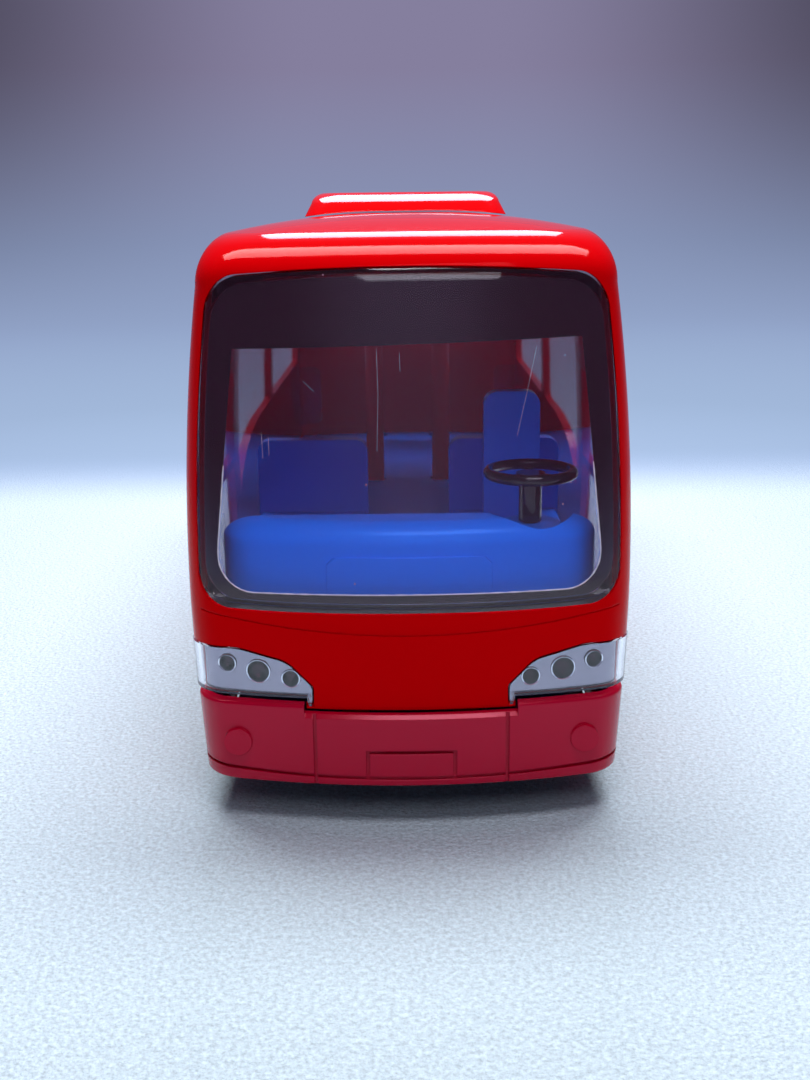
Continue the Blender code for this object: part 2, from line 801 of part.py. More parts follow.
def fitted_cutter(name, outline, depth, axis="Y", start=None, end=None):
    """A cutter that follows the skin: everything inside the outline down to a depth under the surface."""
    layer = skin_layer(name, -BEYOND / 2, depth)
    start = front_y() if start is None else start
    end = 0.0 if end is None else end
    return keep(layer, prism("outline", outline, axis, start, end))


def seam_outline():
    """A thin band that sags below the windscreen, as (x, z)."""
    reach = BODY_WIDTH / 2 - CORNER_RADIUS * 0.5
    steps = 10
    upper, lower = [], []
    for i in range(-steps, steps + 1):
        x = reach * i / steps
        z = SCREEN_FOOT_Z - SEAM_DROP + SEAM_RISE * (x / reach) ** 2
        upper.append((x, z + GROOVE_WIDTH / 2))
        lower.append((x, z - GROOVE_WIDTH / 2))
    return lower + list(reversed(upper))


def side_groove_upright(y, low, high, side):
    """A cutter for an upright panel line in a side wall. It follows the wall's barrel shape."""
    steps = 4
    heights = [low + (high - low) * i / steps for i in range(steps + 1)]
    inner = [(side * (half_width(z) - GROOVE_DEPTH), z) for z in heights]
    outer = [(side * (half_width(z) + BEYOND), z) for z in reversed(heights)]
    return prism("groove", inner + outer, "Y", y - GROOVE_WIDTH / 2, y + GROOVE_WIDTH / 2)


def side_groove_level(z, start, end, side):
    low, high = z - GROOVE_WIDTH / 2, z + GROOVE_WIDTH / 2
    inner, outer = half_width(z) - GROOVE_DEPTH, half_width(z) + BEYOND
    first, last = sorted((side * inner, side * outer))
    return block("groove", (first, start, low), (last, end, high))


def panel_lines(shell):
    """The passenger door's outline on one side and the locker flaps between the arches on both."""
    door_front, door_rear = y_at(DOOR_FRONT_BACK), y_at(DOOR_REAR_BACK)
    below_glass = DOOR_GLASS_FOOT_Z - GROOVE_WIDTH * 2
    cut(
        shell,
        side_groove_upright(door_front, DOOR_FOOT_Z, below_glass, LEFT),
        side_groove_upright(door_rear, DOOR_FOOT_Z, below_glass, LEFT),
        side_groove_level(DOOR_FOOT_Z, door_front, door_rear, LEFT),
    )
    first = y_at(FRONT_AXLE_BACK) + arch_radius() + LOCKER_MARGIN
    last = y_at(rear_axle_back()) - arch_radius() - LOCKER_MARGIN
    for side in (LEFT, RIGHT):
        cut(shell, side_groove_level(LOCKER_TOP_Z, first, last, side))
        for i in range(LOCKER_COUNT + 1):
            y = first + (last - first) * i / LOCKER_COUNT
            cut(shell, side_groove_upright(y, SKIRT_Z + LOCKER_FOOT_RISE, LOCKER_TOP_Z, side))


def bumper_shadow():
    """What the front bumper takes from the shell, as (x, z)."""
    wide = BODY_WIDTH
    corner, centre, step = BUMPER_CORNER_Z + GAP, BUMPER_CENTRE_Z + GAP, x_at(BUMPER_STEP_IN) - GAP
    half = [(wide, 0), (wide, corner), (step, corner), (step, centre)]
    return [(-wide, 0)] + half + [(-step, centre), (-step, corner), (-wide, corner)]


def post_web(x, y, top):
    """The rib that ties an end post to the end wall of the shell, above the bumper."""
    low = top - POST_WEB_HEIGHT
    skin = skin_at((low + top) / 2)
    bow = end_setback(x, skin.half, FRONT_BOW if y < 0 else REAR_BOW)
    wall = skin.front + bow + WALL / 2 if y < 0 else skin.rear - bow - WALL / 2
    near, far = sorted((wall, y))
    return block("web", (x - POST_WEB_WIDTH / 2, near, low), (x + POST_WEB_WIDTH / 2, far, top))


def make_body_shell():
    shell = skin_layer("body_shell", 0.0, WALL)
    wide = BODY_WIDTH
    cut(shell, screen_block("opening", 0.0, 0.0, SCREEN_REACH))
    cut(shell, prism("front", bumper_shadow(), "Y", front_y(), y_at(BUMPER_REACH + GAP)))
    corner = BUMPER_CORNER_Z + GAP
    rear_shadow = [(-wide, 0), (wide, 0), (wide, corner), (-wide, corner)]
    cut(shell, prism("rear", rear_shadow, "Y", y_at(BODY_LENGTH - BUMPER_REACH - GAP), rear_y()))
    for back in axle_backs().values():
        cut(shell, rod("arch", "X", axle_centre(back), arch_radius(), -wide, wide, ARCH_SIDES))
    crossbar = CROSSBAR_HEIGHT / 2
    panes = [
        door_glass_outline(DOOR_GLASS_FOOT_Z, CROSSBAR_Z - crossbar),
        door_glass_outline(CROSSBAR_Z + crossbar, DOOR_GLASS_TOP_Z),
        *saloon_outlines(),
    ]
    for outline in panes:
        cut(shell, prism("window", outline, "X", -wide, wide))
    cut(shell, prism("rear_window", rear_window_outline(0.0), "Y", 0.0, rear_y()))
    for outline in (lamp_outline(0.0, wide), mirror_outline(lamp_outline(0.0, wide))):
        cut(shell, prism("lamp", outline, "Y", front_y(), y_at(LAMP_WRAP)))
    for outline in (tail_lamp_outline(0.0), mirror_outline(tail_lamp_outline(0.0))):
        cut(shell, prism("tail_lamp", outline, "Y", y_at(BODY_LENGTH - TAIL_LAMP_WRAP), rear_y()))
    cut(shell, fitted_cutter("seam", seam_outline(), GROOVE_DEPTH))
    for i in range(LOUVRE_COUNT):
        low = LOUVRE_FOOT_Z + LOUVRE_PITCH * i
        high, half = low + LOUVRE_HEIGHT, LOUVRE_HALF
        slot = ((-half, low), (half, low), (half, high), (-half, high))
        cut(shell, fitted_cutter("louvre", slot, GROOVE_DEPTH * 2, "Y", 0.0, rear_y()))
    panel_lines(shell)
    for _, x, y, top in post_places():
        if top is None:
            top = ROOF_EDGE_Z + ROOF_CAMBER / 2
        else:
            join(shell, post_web(x, y, top))
        join(shell, rod("post", "Z", (x, y), POST_RADIUS, screw_post_foot(), top, SMALL_SIDES))
        cut(shell, rod("pilot", "Z", (x, y), PILOT_RADIUS, 0.0, screw_post_foot() + PILOT_DEPTH, SMALL_SIDES))
    return finish(shell, "gloss_red")


def screen_tab(x, low, high):
    """A small hook on the windscreen's rim that reaches behind the shell's wall."""
    layer = skin_layer("tab", WALL + GAP, WALL + GLASS_RIM)
    half = SCREEN_TAB_WIDTH / 2
    return keep(layer, block("reach", (x - half, front_y(), low), (x + half, 0.0, high)))


def make_windscreen():
    """A clear tray: its pane fills the opening, its rim runs in and four hooks hold it."""
    depth = WALL + GAP + GLASS_RIM
    pane = skin_layer("windscreen", -GLASS_PROUD, depth)
    keep(pane, screen_block("outline", GAP, GAP, SCREEN_REACH - GAP))
    hollow = skin_layer("hollow", GLASS_THICKNESS, depth + BEYOND)
    keep(hollow, screen_block("outline", GAP + GLASS_RIM, GAP + GLASS_RIM, SCREEN_REACH))
    cut(pane, hollow)
    for side in (LEFT, RIGHT):
        x = side * SCREEN_TAB_X
        join(pane, screen_tab(x, SCREEN_FOOT_Z - SCREEN_TAB_HOOK, SCREEN_FOOT_Z + GLASS_RIM))
        share = SCREEN_TAB_X / skin_at(SCREEN_TOP_Z).half
        top = SCREEN_TOP_Z - SCREEN_ARCH * share**2
        join(pane, screen_tab(x, top - GLASS_RIM, top + SCREEN_TAB_HOOK))
    return finish(pane, "clear")


def make_side_glass(side, name):
    """One clear sheet behind all the windows of a side. It follows the wall's barrel shape."""
    inside = WALL + GAP
    sheet = skin_layer(name, inside, inside + GLASS_THICKNESS)
    over = SIDE_GLASS_OVERLAP
    lean = DOOR_GLASS_LEAN * (WINDOW_TOP_Z - DOOR_GLASS_FOOT_Z) / (DOOR_GLASS_TOP_Z - DOOR_GLASS_FOOT_Z)
    front = y_at(DOOR_GLASS_BACK) - over
    rear = y_at(BODY_LENGTH - REAR_PILLAR) + over
    low, high = DOOR_GLASS_FOOT_Z - over, WINDOW_TOP_Z + over
    outline = [(front, low), (rear, low), (rear, high), (front + lean, high)]
    near, far = sorted((side * (x_at(SEAT_IN) - BEYOND), side * (BODY_WIDTH / 2 + BEYOND)))
    keep(sheet, prism("outline", outline, "X", near, far))
    return finish(sheet, "clear")


def make_rear_window():
    inside = WALL + GAP
    sheet = skin_layer("rear_window", inside, inside + GLASS_THICKNESS)
    keep(sheet, prism("outline", rear_window_outline(SIDE_GLASS_OVERLAP), "Y", 0.0, rear_y()))
    return finish(sheet, "clear")


def make_roof_pod():
    """The roof unit: a shallow tapered cover with slots, seated on the cambered roof."""
    front, rear = y_at(POD_BACK), y_at(POD_BACK + POD_LENGTH)
    top = ROOF_EDGE_Z + ROOF_CAMBER + POD_HEIGHT
    rings = []
    levels = ((ROOF_EDGE_Z, 0.0), (top - POD_TAPER / 2, 0.55), (top - POD_TAPER / 7, 0.8), (top, 1.0))
    for z, share in levels:
        inset = POD_TAPER * share
        half = POD_HALF_WIDTH - inset
        corners = ((-half, front + inset), (half, front + inset), (half, rear - inset), (-half, rear - inset))
        outline = rounded([(x, y, POD_CORNER) for x, y in corners])
        rings.append([(x, y, z) for x, y in outline])
    pod = loft("roof_pod", rings)
    roof = loft("roof", body_rings(-GAP, SHOULDER_Z - BEYOND))
    cut(pod, roof)
    middle = (front + rear) / 2
    for i in range(POD_SLOT_COUNT):
        y = middle + POD_SLOT_PITCH * (i - (POD_SLOT_COUNT - 1) / 2)
        low = (-POD_SLOT_HALF, y - GROOVE_WIDTH, top - GROOVE_DEPTH)
        cut(pod, block("slot", low, (POD_SLOT_HALF, y + GROOVE_WIDTH, top + BEYOND)))
    return finish(pod, "gloss_red")


# Lamps


def make_head_lamp(side, word):
    """The clear lens, flush with the skin, and the silvered tray with its three cups behind it."""
    outer = BODY_WIDTH
    lens_outline = lamp_outline(GAP, outer)
    tray_outline = lamp_outline(GAP, x_at(REFLECTOR_IN))
    lens = skin_layer(f"headlamp_lens_{word}", -GLASS_PROUD, LENS_THICKNESS)
    tray_face = LENS_THICKNESS + GAP
    tray = skin_layer(f"headlamp_reflector_{word}", tray_face, tray_face + REFLECTOR_DEPTH)
    if side == LEFT:
        lens_outline, tray_outline = mirror_outline(lens_outline), mirror_outline(tray_outline)
    keep(lens, prism("outline", lens_outline, "Y", front_y(), y_at(LAMP_WRAP - GAP)))
    keep(tray, prism("outline", tray_outline, "Y", front_y(), y_at(LAMP_WRAP - GAP)))
    for distance_in, z, radius in LAMP_CUPS:
        x = x_at(distance_in)
        floor_y = cup_floor(x, z)
        cut(tray, rod("cup", "Y", (side * x, z), radius, front_y(), floor_y, SMALL_SIDES))
    finish(lens, "clear")
    finish(tray, "lamp_silver")


def cup_floor(x, z):
    """The y at which a lamp cup ends, so that the tray keeps a floor behind it."""
    skin = skin_at(z)
    setback = end_setback(x, skin.half, FRONT_BOW)
    return skin.front + setback + LENS_THICKNESS + GAP + CUP_DEPTH


def make_tail_lamp(side, word):
    lamp = skin_layer(f"tail_lamp_{word}", -GLASS_PROUD, WALL)
    outline = tail_lamp_outline(GAP)
    if side == LEFT:
        outline = mirror_outline(outline)
    keep(lamp, prism("outline", outline, "Y", y_at(BODY_LENGTH - TAIL_LAMP_WRAP + GAP), rear_y()))
    finish(lamp, "lamp_red")


# Bumpers


def bumper_rings(inset, foot, top, edge):
    """Rings of a bumper's face at one depth, with a small round along the top and bottom edges."""
    levels = [
        (foot, edge),
        (foot + edge * 0.3, edge * 0.3),
        (foot + edge, 0.0),
        (top - edge, 0.0),
        (top - edge * 0.3, edge * 0.3),
        (top, edge),
    ]
    rings = []
    for z, tuck in levels:
        half = half_width(z) - BUMPER_SIDE_STEP - inset - tuck
        front, rear = y_at(inset + tuck), y_at(BODY_LENGTH - inset - tuck)
        rings.append(plan_ring(z, half, front, rear, CORNER_RADIUS - inset))
    return rings


def bumper_inside(inset):
    """A block with the bumper's plan, moved in, that runs past its top and bottom."""
    rings = []
    for z in (BUMPER_FOOT_Z - BEYOND, BUMPER_CORNER_Z + BEYOND):
        half = half_width(z) - BUMPER_SIDE_STEP - inset
        rings.append(plan_ring(z, half, y_at(inset), y_at(BODY_LENGTH - inset), CORNER_RADIUS - inset))
    return loft("inside", rings)


def bumper_wall(name):
    """The wall that both bumpers are cut from."""
    outer = bumper_rings(0.0, BUMPER_FOOT_Z, BUMPER_CORNER_Z, BUMPER_EDGE)
    return cut(loft(name, outer), bumper_inside(BUMPER_WALL))


def lip_z(x):
    """The height of the line above the bumper's lip: lowest in the middle."""
    return LIP_Z + LIP_RISE * (x / (BODY_WIDTH / 2)) ** 2


def lip_groove():
    """A thin line round the bumper, above its lip."""
    steps = 10
    reach = BODY_WIDTH / 2 + BEYOND
    stations = [reach * i / steps for i in range(-steps, steps + 1)]
    low = [(x, lip_z(x) - PANEL_LINE / 2) for x in stations]
    high = [(x, lip_z(x) + PANEL_LINE / 2) for x in reversed(stations)]
    band = prism("lip", low + high, "Y", front_y(), rear_y())
    return cut(band, bumper_inside(GROOVE_DEPTH))


def plate_frame(y_start, y_end):
    """The groove round the bare number-plate field, which opens into the lip's line."""
    line = PANEL_LINE
    half = PLATE_HALF
    outer = block("plate", (-half, y_start, LIP_Z), (half, y_end, PLATE_TOP_Z))
    low = (-half + line, y_start - BEYOND, LIP_Z - BEYOND)
    inner = block("field", low, (half - line, y_end + BEYOND, PLATE_TOP_Z - line))
    return cut(outer, inner)


def bumper_grooves(bumper, end):
    """Panel lines and the plate's frame. end is -1 at the front and 1 at the rear."""
    face = y_at(0.0) if end < 0 else y_at(BODY_LENGTH)
    near, far = sorted((face + end * BEYOND, face - end * GROOVE_DEPTH))
    cut(bumper, lip_groove())
    cut(bumper, plate_frame(near, far))
    slack = end_setback(x_at(PANEL_LINE_IN), BODY_WIDTH / 2, FRONT_BOW)
    near, far = sorted((face + end * BEYOND, face - end * (GROOVE_DEPTH + slack)))
    for side in (LEFT, RIGHT):
        x = side * x_at(PANEL_LINE_IN)
        high = (x + PANEL_LINE / 2, far, BUMPER_CORNER_Z + BEYOND)
        cut(bumper, block("line", (x - PANEL_LINE / 2, near, 0.0), high))


def make_front_bumper():
    bumper = bumper_wall("front_bumper")
    end = y_at(BUMPER_REACH)
    keep(bumper, block("reach", (-BODY_WIDTH, front_y(), 0.0), (BODY_WIDTH, end, SHOULDER_Z)))
    step = x_at(BUMPER_STEP_IN)
    cut(bumper, block("step", (-step, front_y(), BUMPER_CENTRE_Z), (step, end, SHOULDER_Z)))
    bumper_grooves(bumper, -1)
    disc_x = x_at(FOG_DISC_IN)
    bow = end_setback(disc_x, half_width(FOG_DISC_Z), FRONT_BOW)
    near, far = y_at(bow - FOG_DISC_PROUD), y_at(bow + BUMPER_WALL)
    for side in (LEFT, RIGHT):
        join(bumper, rod("disc", "Y", (side * disc_x, FOG_DISC_Z), FOG_DISC_RADIUS, near, far))
    return finish(bumper, "satin_red")


def make_rear_bumper():
    bumper = bumper_wall("rear_bumper")
    start = y_at(BODY_LENGTH - BUMPER_REACH)
    keep(bumper, block("reach", (-BODY_WIDTH, start, 0.0), (BODY_WIDTH, rear_y(), SHOULDER_Z)))
    bumper_grooves(bumper, 1)
    return finish(bumper, "satin_red")


# Chassis


def make_chassis():
    """A flat pan inside the skirts, with wheel notches, axle lugs, ribs and screw bosses."""
    inset = max(WALL, BUMPER_WALL + BUMPER_SIDE_STEP) + GAP
    skin = Skin(half_width(CHASSIS_FOOT_Z), y_at(0.0), y_at(BODY_LENGTH))
    rings = [
        plan_ring(z, skin.half - inset, skin.front + inset, skin.rear - inset, CORNER_RADIUS - inset)
        for z in (CHASSIS_FOOT_Z, chassis_top_z())
    ]
    pan = loft("chassis", rings)
    wide = BODY_WIDTH
    above = chassis_top_z() + BEYOND
    for back in axle_backs().values():
        start, end = y_at(back - WHEEL_WELL_LENGTH / 2), y_at(back + WHEEL_WELL_LENGTH / 2)
        for side in (LEFT, RIGHT):
            first, last = sorted((side * chassis_waist(), side * wide))
            cut(pan, block("well", (first, start, 0.0), (last, end, above)))
    bed = chassis_top_z() - CHASSIS_THICKNESS / 2
    for side in (LEFT, RIGHT):
        x = side * RIB_X
        start = y_at(END_POST_BACK + SCREW_BOSS_RADIUS)
        end = y_at(BODY_LENGTH - END_POST_BACK - SCREW_BOSS_RADIUS)
        rib_top = (x + RIB_WIDTH / 2, end, chassis_top_z() + RIB_HEIGHT)
        join(pan, block("rib", (x - RIB_WIDTH / 2, start, bed), rib_top))
        for back in axle_backs().values():
            join(pan, axle_lug(side, back, bed))
    window = motor_window()
    cut(pan, block("motor", (*window[:2], 0.0), (*window[2:], above + RIB_HEIGHT)))
    for _, x, y, _ in post_places():
        join(pan, rod("boss", "Z", (x, y), SCREW_BOSS_RADIUS, bed, CHASSIS_FOOT_Z + SCREW_BOSS_HEIGHT))
        cut(pan, rod("head", "Z", (x, y), SCREW_HEAD_RADIUS + GAP, 0.0, screw_seat_z()))
        cut(pan, rod("hole", "Z", (x, y), SCREW_RADIUS + GAP, 0.0, above, SMALL_SIDES))
    for y in motor_screw_places():
        cut(pan, rod("motor_hole", "Z", (0.0, y), SCREW_RADIUS + GAP, 0.0, above, SMALL_SIDES))
    return finish(pan, "black")


def chassis_waist():
    """Half the chassis pan's width between the wheels."""
    return x_at(TYRE_IN) - TYRE_WIDTH - WHEEL_WELL_AIR


def axle_lug_x():
    """The inner face of the lug that carries an axle."""
    return chassis_waist() - AXLE_LUG_EDGE - AXLE_LUG_WIDTH


def screw_seat_z():
    """Where a body screw's head bears, up inside its boss."""
    return CHASSIS_FOOT_Z + SCREW_HEAD_HEIGHT + GAP


def axle_lug(side, back, bed):
    """An upright with a round head and a hole, which carries the axle."""
    centre = axle_centre(back)
    half = AXLE_LUG_LENGTH / 2
    first, last = sorted((side * axle_lug_x(), side * (axle_lug_x() + AXLE_LUG_WIDTH)))
    arc = [math.pi * i / 8 for i in range(9)]
    outline = [(centre[0] + half * math.cos(a), centre[1] + half * math.sin(a)) for a in arc]
    outline += [(centre[0] - half, bed), (centre[0] + half, bed)]
    lug = prism("lug", outline, "X", first, last)
    return cut(lug, rod("hole", "X", centre, AXLE_RADIUS + SHAFT_CLEARANCE, first - BEYOND, last + BEYOND))


# Wheels and axles


def on_axis(centre):
    """The middle of an axis along X, from its (y, z)."""
    return (0.0, *centre)


def make_axle(word, back):
    centre = axle_centre(back)
    reach = x_at(TYRE_IN) - AXLE_END_SETBACK
    return finish(rod(f"{word}_axle", "X", centre, AXLE_RADIUS, -reach, reach), "steel", on_axis(centre))


def make_wheel(word, back, side, side_word):
    """A tyre with a tread groove round a dished hub whose boss reaches in to the axle lug."""
    centre = axle_centre(back)
    outer = x_at(TYRE_IN)
    inner = outer - TYRE_WIDTH
    middle = outer - TYRE_WIDTH / 2
    r = TYRE_RADIUS
    bead = RIM_RADIUS + GAP
    tyre = [
        (inner, bead),
        (inner, r - SIDEWALL_ROUND),
        (inner + SIDEWALL_ROUND, r),
        (middle - TREAD_GROOVE, r),
        (middle, r - TREAD_GROOVE),
        (middle + TREAD_GROOVE, r),
        (outer - SIDEWALL_ROUND, r),
        (outer, r - SIDEWALL_ROUND),
        (outer - SIDEWALL_ROUND / 3, bead),
    ]
    bore = AXLE_RADIUS + SHAFT_CLEARANCE
    boss_end = axle_lug_x() + AXLE_LUG_WIDTH + GAP
    boss, dish, cap = HUB_BOSS_RADIUS, outer - HUB_DISH, outer - HUB_CAP_SETBACK
    hub = [
        (boss_end, bore),
        (boss_end, boss),
        (inner + HUB_STEP, boss),
        (inner + HUB_STEP, RIM_RADIUS),
        (outer - RIM_SETBACK, RIM_RADIUS),
        (outer - RIM_SETBACK, RIM_RADIUS - RIM_LIP),
        (dish, RIM_RADIUS - RIM_LIP - RIM_SETBACK),
        (dish, HUB_DISH_FOOT_RADIUS),
        (cap, boss),
        (cap, 0.0),
        (cap - HUB_CAP, 0.0),
        (cap - HUB_CAP, bore),
    ]
    end = f"{word}_{side_word}"
    tyre = turned(f"tyre_{end}", [(side * x, radius) for x, radius in tyre], centre, TYRE_SIDES)
    finish(tyre, "tyre", on_axis(centre))
    finish(turned(f"hub_{end}", [(side * x, radius) for x, radius in hub], centre), "hub", on_axis(centre))


# Friction drive


def gear_outline(teeth, centre, turn, bore):
    """An involute gear's outline and its bore's, both as (y, z). turn is the angle of one tooth's middle."""
    pitch = GEAR_MODULE * teeth / 2
    base = pitch * math.cos(PRESSURE_ANGLE)
    tip, root = pitch + ADDENDUM, pitch - DEDENDUM
    half_tooth = math.pi / (2 * teeth) - GEAR_BACKLASH / (2 * pitch)
    involute = math.tan(PRESSURE_ANGLE) - PRESSURE_ANGLE

    def half_angle(radius):
        angle = math.acos(min(1.0, base / radius))
        return half_tooth + involute - (math.tan(angle) - angle)

    radii = (root, pitch, tip)
    flank = [(radius, half_angle(max(radius, base))) for radius in radii]
    points = []
    for tooth in range(teeth):
        middle = turn + 2 * math.pi * tooth / teeth
        for radius, angle in [(r, -a) for r, a in flank] + [(r, a) for r, a in reversed(flank)]:
            y, z = math.cos(middle + angle), math.sin(middle + angle)
            points.append((centre[0] + radius * y, centre[1] + radius * z))
    return points, circle(centre, bore, SMALL_SIDES)


def spur_gear(name, teeth, centre, turn, bore, start, width):
    outline, hole = gear_outline(teeth, centre, turn, bore)
    gear = prism(name, outline, "X", start, start + width)
    return cut(gear, prism("bore", hole, "X", start - BEYOND, start + width + BEYOND))


def mesh_places():
    """Centres of the axle gear, the transfer shaft and the flywheel shaft, as (y, z)."""
    axle = Vector(axle_centre(rear_axle_back()))
    first = GEAR_MODULE * (AXLE_TEETH + PINION_TEETH) / 2
    second = GEAR_MODULE * (WHEEL_TEETH + FLYWHEEL_TEETH) / 2
    transfer = axle + first * Vector((math.cos(FIRST_MESH_ANGLE), math.sin(FIRST_MESH_ANGLE)))
    flywheel = transfer + second * Vector((math.cos(SECOND_MESH_ANGLE), math.sin(SECOND_MESH_ANGLE)))
    return axle, transfer, flywheel


def make_gears():
    """Axle gear, compound transfer gear and flywheel pinion, each pair with a tooth in a gap."""
    axle, transfer, flywheel = mesh_places()
    first_x = AXLE_GEAR_X
    second_x = first_x + GEAR_WIDTH + GEAR_SPACE
    flywheel_x = second_x + GEAR_WIDTH + GEAR_SPACE
    first_turn, second_turn = FIRST_MESH_ANGLE, SECOND_MESH_ANGLE
    axle_bore, bore = AXLE_RADIUS + SHAFT_CLEARANCE, SHAFT_RADIUS + SHAFT_CLEARANCE
    width = GEAR_WIDTH
    gear = spur_gear("axle_gear", AXLE_TEETH, axle, first_turn, axle_bore, first_x, width)
    finish(gear, "gear_white", on_axis(axle))
    gear = spur_gear("transfer_gear", WHEEL_TEETH, transfer, second_turn, bore, second_x, width)
    turn = first_turn + math.pi + math.pi / PINION_TEETH
    pinion = spur_gear("pinion", PINION_TEETH, transfer, turn, bore, first_x, width + GEAR_SPACE * 2)
    finish(join(gear, pinion), "gear_white", on_axis(transfer))
    turn = second_turn + math.pi + math.pi / FLYWHEEL_TEETH
    gear = spur_gear("flywheel_pinion", FLYWHEEL_TEETH, flywheel, turn, bore, second_x, width)
    finish(gear, "gear_white", on_axis(flywheel))
    rim, chamfer, end = FLYWHEEL_RADIUS, FLYWHEEL_CHAMFER, flywheel_x + FLYWHEEL_WIDTH
    disc = [
        (flywheel_x, bore),
        (flywheel_x, rim - chamfer),
        (flywheel_x + chamfer, rim),
        (end - chamfer, rim),
        (end, rim - chamfer),
        (end, bore),
    ]
    finish(turned("flywheel", disc, flywheel, FLYWHEEL_SIDES), "steel", on_axis(flywheel))
    end = CASE_HALF_WIDTH - GAP
    for name, centre in (("transfer_shaft", transfer), ("flywheel_shaft", flywheel)):
        finish(rod(name, "X", centre, SHAFT_RADIUS, -end, end, SMALL_SIDES), "steel", on_axis(centre))


def case_inner():
    """The motor case's inside, as (first y, first z, last y, last z)."""
    axle, transfer, flywheel = mesh_places()
    tip = GEAR_MODULE
    axle_tip = GEAR_MODULE * AXLE_TEETH / 2 + tip
    wheel_tip = GEAR_MODULE * WHEEL_TEETH / 2 + tip
    low = min(axle.y - axle_tip, transfer.y - wheel_tip, flywheel.y - FLYWHEEL_RADIUS) - CASE_AIR
    high = max(axle.y + axle_tip, transfer.y + wheel_tip, flywheel.y + FLYWHEEL_RADIUS) + CASE_AIR
    return axle.x - axle_tip - CASE_AIR, low, flywheel.x + FLYWHEEL_RADIUS + CASE_AIR, high


def case_outline(margin):
    first, low, last, high = case_inner()
    corners = ((first, low), (last, low), (last, high), (first, high))
    shifts = ((-1, -1), (1, -1), (1, 1), (-1, 1))
    radius = CASE_CORNER
    return rounded([(y + margin * a, z + margin * b, radius) for (y, z), (a, b) in zip(corners, shifts)])


def motor_window():
    """The chassis opening round the motor case, as (first x, first y, last x, last y)."""
    first, _, last, _ = case_inner()
    side = CASE_HALF_WIDTH + CASE_WALL + GAP * 2
    around = CASE_WALL + GAP
    return -side, first - around, side, last + around


def motor_screw_places():
    first, _, last, _ = case_inner()
    reach = CASE_WALL + EAR_LENGTH / 2
    return first - reach, last + reach


def make_motor_case():
    """A tub that opens to one side, with an ear at each end, and the plate that closes it."""
    axle, transfer, flywheel = mesh_places()
    half = CASE_HALF_WIDTH
    case = prism("motor_case", case_outline(CASE_WALL), "X", -half, half - CASE_WALL)
    first, _, last, _ = case_inner()
    ear_low = chassis_top_z() + GAP
    for y in (first - CASE_WALL - EAR_LENGTH, last + CASE_WALL / 2):
        end = y + EAR_LENGTH + CASE_WALL / 2
        ear_top = (EAR_HALF_WIDTH, end, ear_low + EAR_THICKNESS)
        join(case, block("ear", (-EAR_HALF_WIDTH, y, ear_low), ear_top))
    cut(case, prism("inside", case_outline(0.0), "X", -half + CASE_WALL, half + BEYOND))
    cover = prism("motor_cover", case_outline(CASE_WALL), "X", half - CASE_WALL + GAP, half + GAP)
    holes = ((axle, AXLE_RADIUS), (transfer, SHAFT_RADIUS), (flywheel, SHAFT_RADIUS))
    for piece in (case, cover):
        for centre, radius in holes:
            cut(piece, rod("hole", "X", centre, radius + SHAFT_CLEARANCE, -half - BEYOND, half + BEYOND))
    hole = SCREW_RADIUS + GAP
    for y in motor_screw_places():
        cut(case, rod("hole", "Z", (0.0, y), hole, ear_low - BEYOND, ear_low + BEYOND, SMALL_SIDES))
    finish(case, "gear_white")
    finish(cover, "gear_white")


# Screws


def screw(name, x, y, seat, length, up):
    """A slotted screw whose head lies on one side of its seat and shank on the other."""
    near, far = sorted((seat, seat + up * length))
    body = rod(name, "Z", (x, y), SCREW_RADIUS, near, far, SMALL_SIDES)
    outer_face = seat - up * SCREW_HEAD_HEIGHT
    head_low, head_high = sorted((outer_face, seat + up * SCREW_RADIUS / 4))
    join(body, rod("head", "Z", (x, y), SCREW_HEAD_RADIUS, head_low, head_high))
    slot_low, slot_high = sorted((outer_face - up * BEYOND, outer_face + up * SCREW_HEAD_HEIGHT * 0.5))
    long, thin = SCREW_HEAD_RADIUS * 2, SCREW_SLOT_WIDTH / 2
    cut(body, block("slot", (x - long, y - thin, slot_low), (x + long, y + thin, slot_high)))
    return finish(body, "steel")


def make_screws():
    for word, x, y, _ in post_places():
        screw(f"screw_{word}", x, y, screw_seat_z() - GAP - SCREW_RADIUS / 4, SCREW_LENGTH, 1)
    ear_top = chassis_top_z() + GAP + EAR_THICKNESS
    for word, y in zip(("front", "rear"), motor_screw_places()):
        screw(f"motor_screw_{word}", 0.0, y, ear_top + GAP + SCREW_RADIUS / 4, MOTOR_SCREW_LENGTH, -1)


# Cabin moulding


def seat(name, low_x, high_x, back, foot, top, cushion_top, cushion):
    """A moulded seat: an upright back with round top corners and a cushion before it."""
    corner, edge = min(SEAT_CORNER, (high_x - low_x) / 4), SEAT_EDGE
    outline = rounded([(low_x, foot, 0), (high_x, foot, 0), (high_x, top, corner), (low_x, top, corner)])
    rest = prism(name, outline, "Y", y_at(back), y_at(back + SEAT_THICKNESS))
    front, rear = y_at(back - cushion), y_at(back + SEAT_THICKNESS / 2)
    side = rounded([(front, foot, 0), (rear, foot, 0), (rear, cushion_top, 0), (front, cushion_top, edge)])
    return join(rest, prism("cushion", side, "X", low_x + edge / 2, high_x - edge / 2))


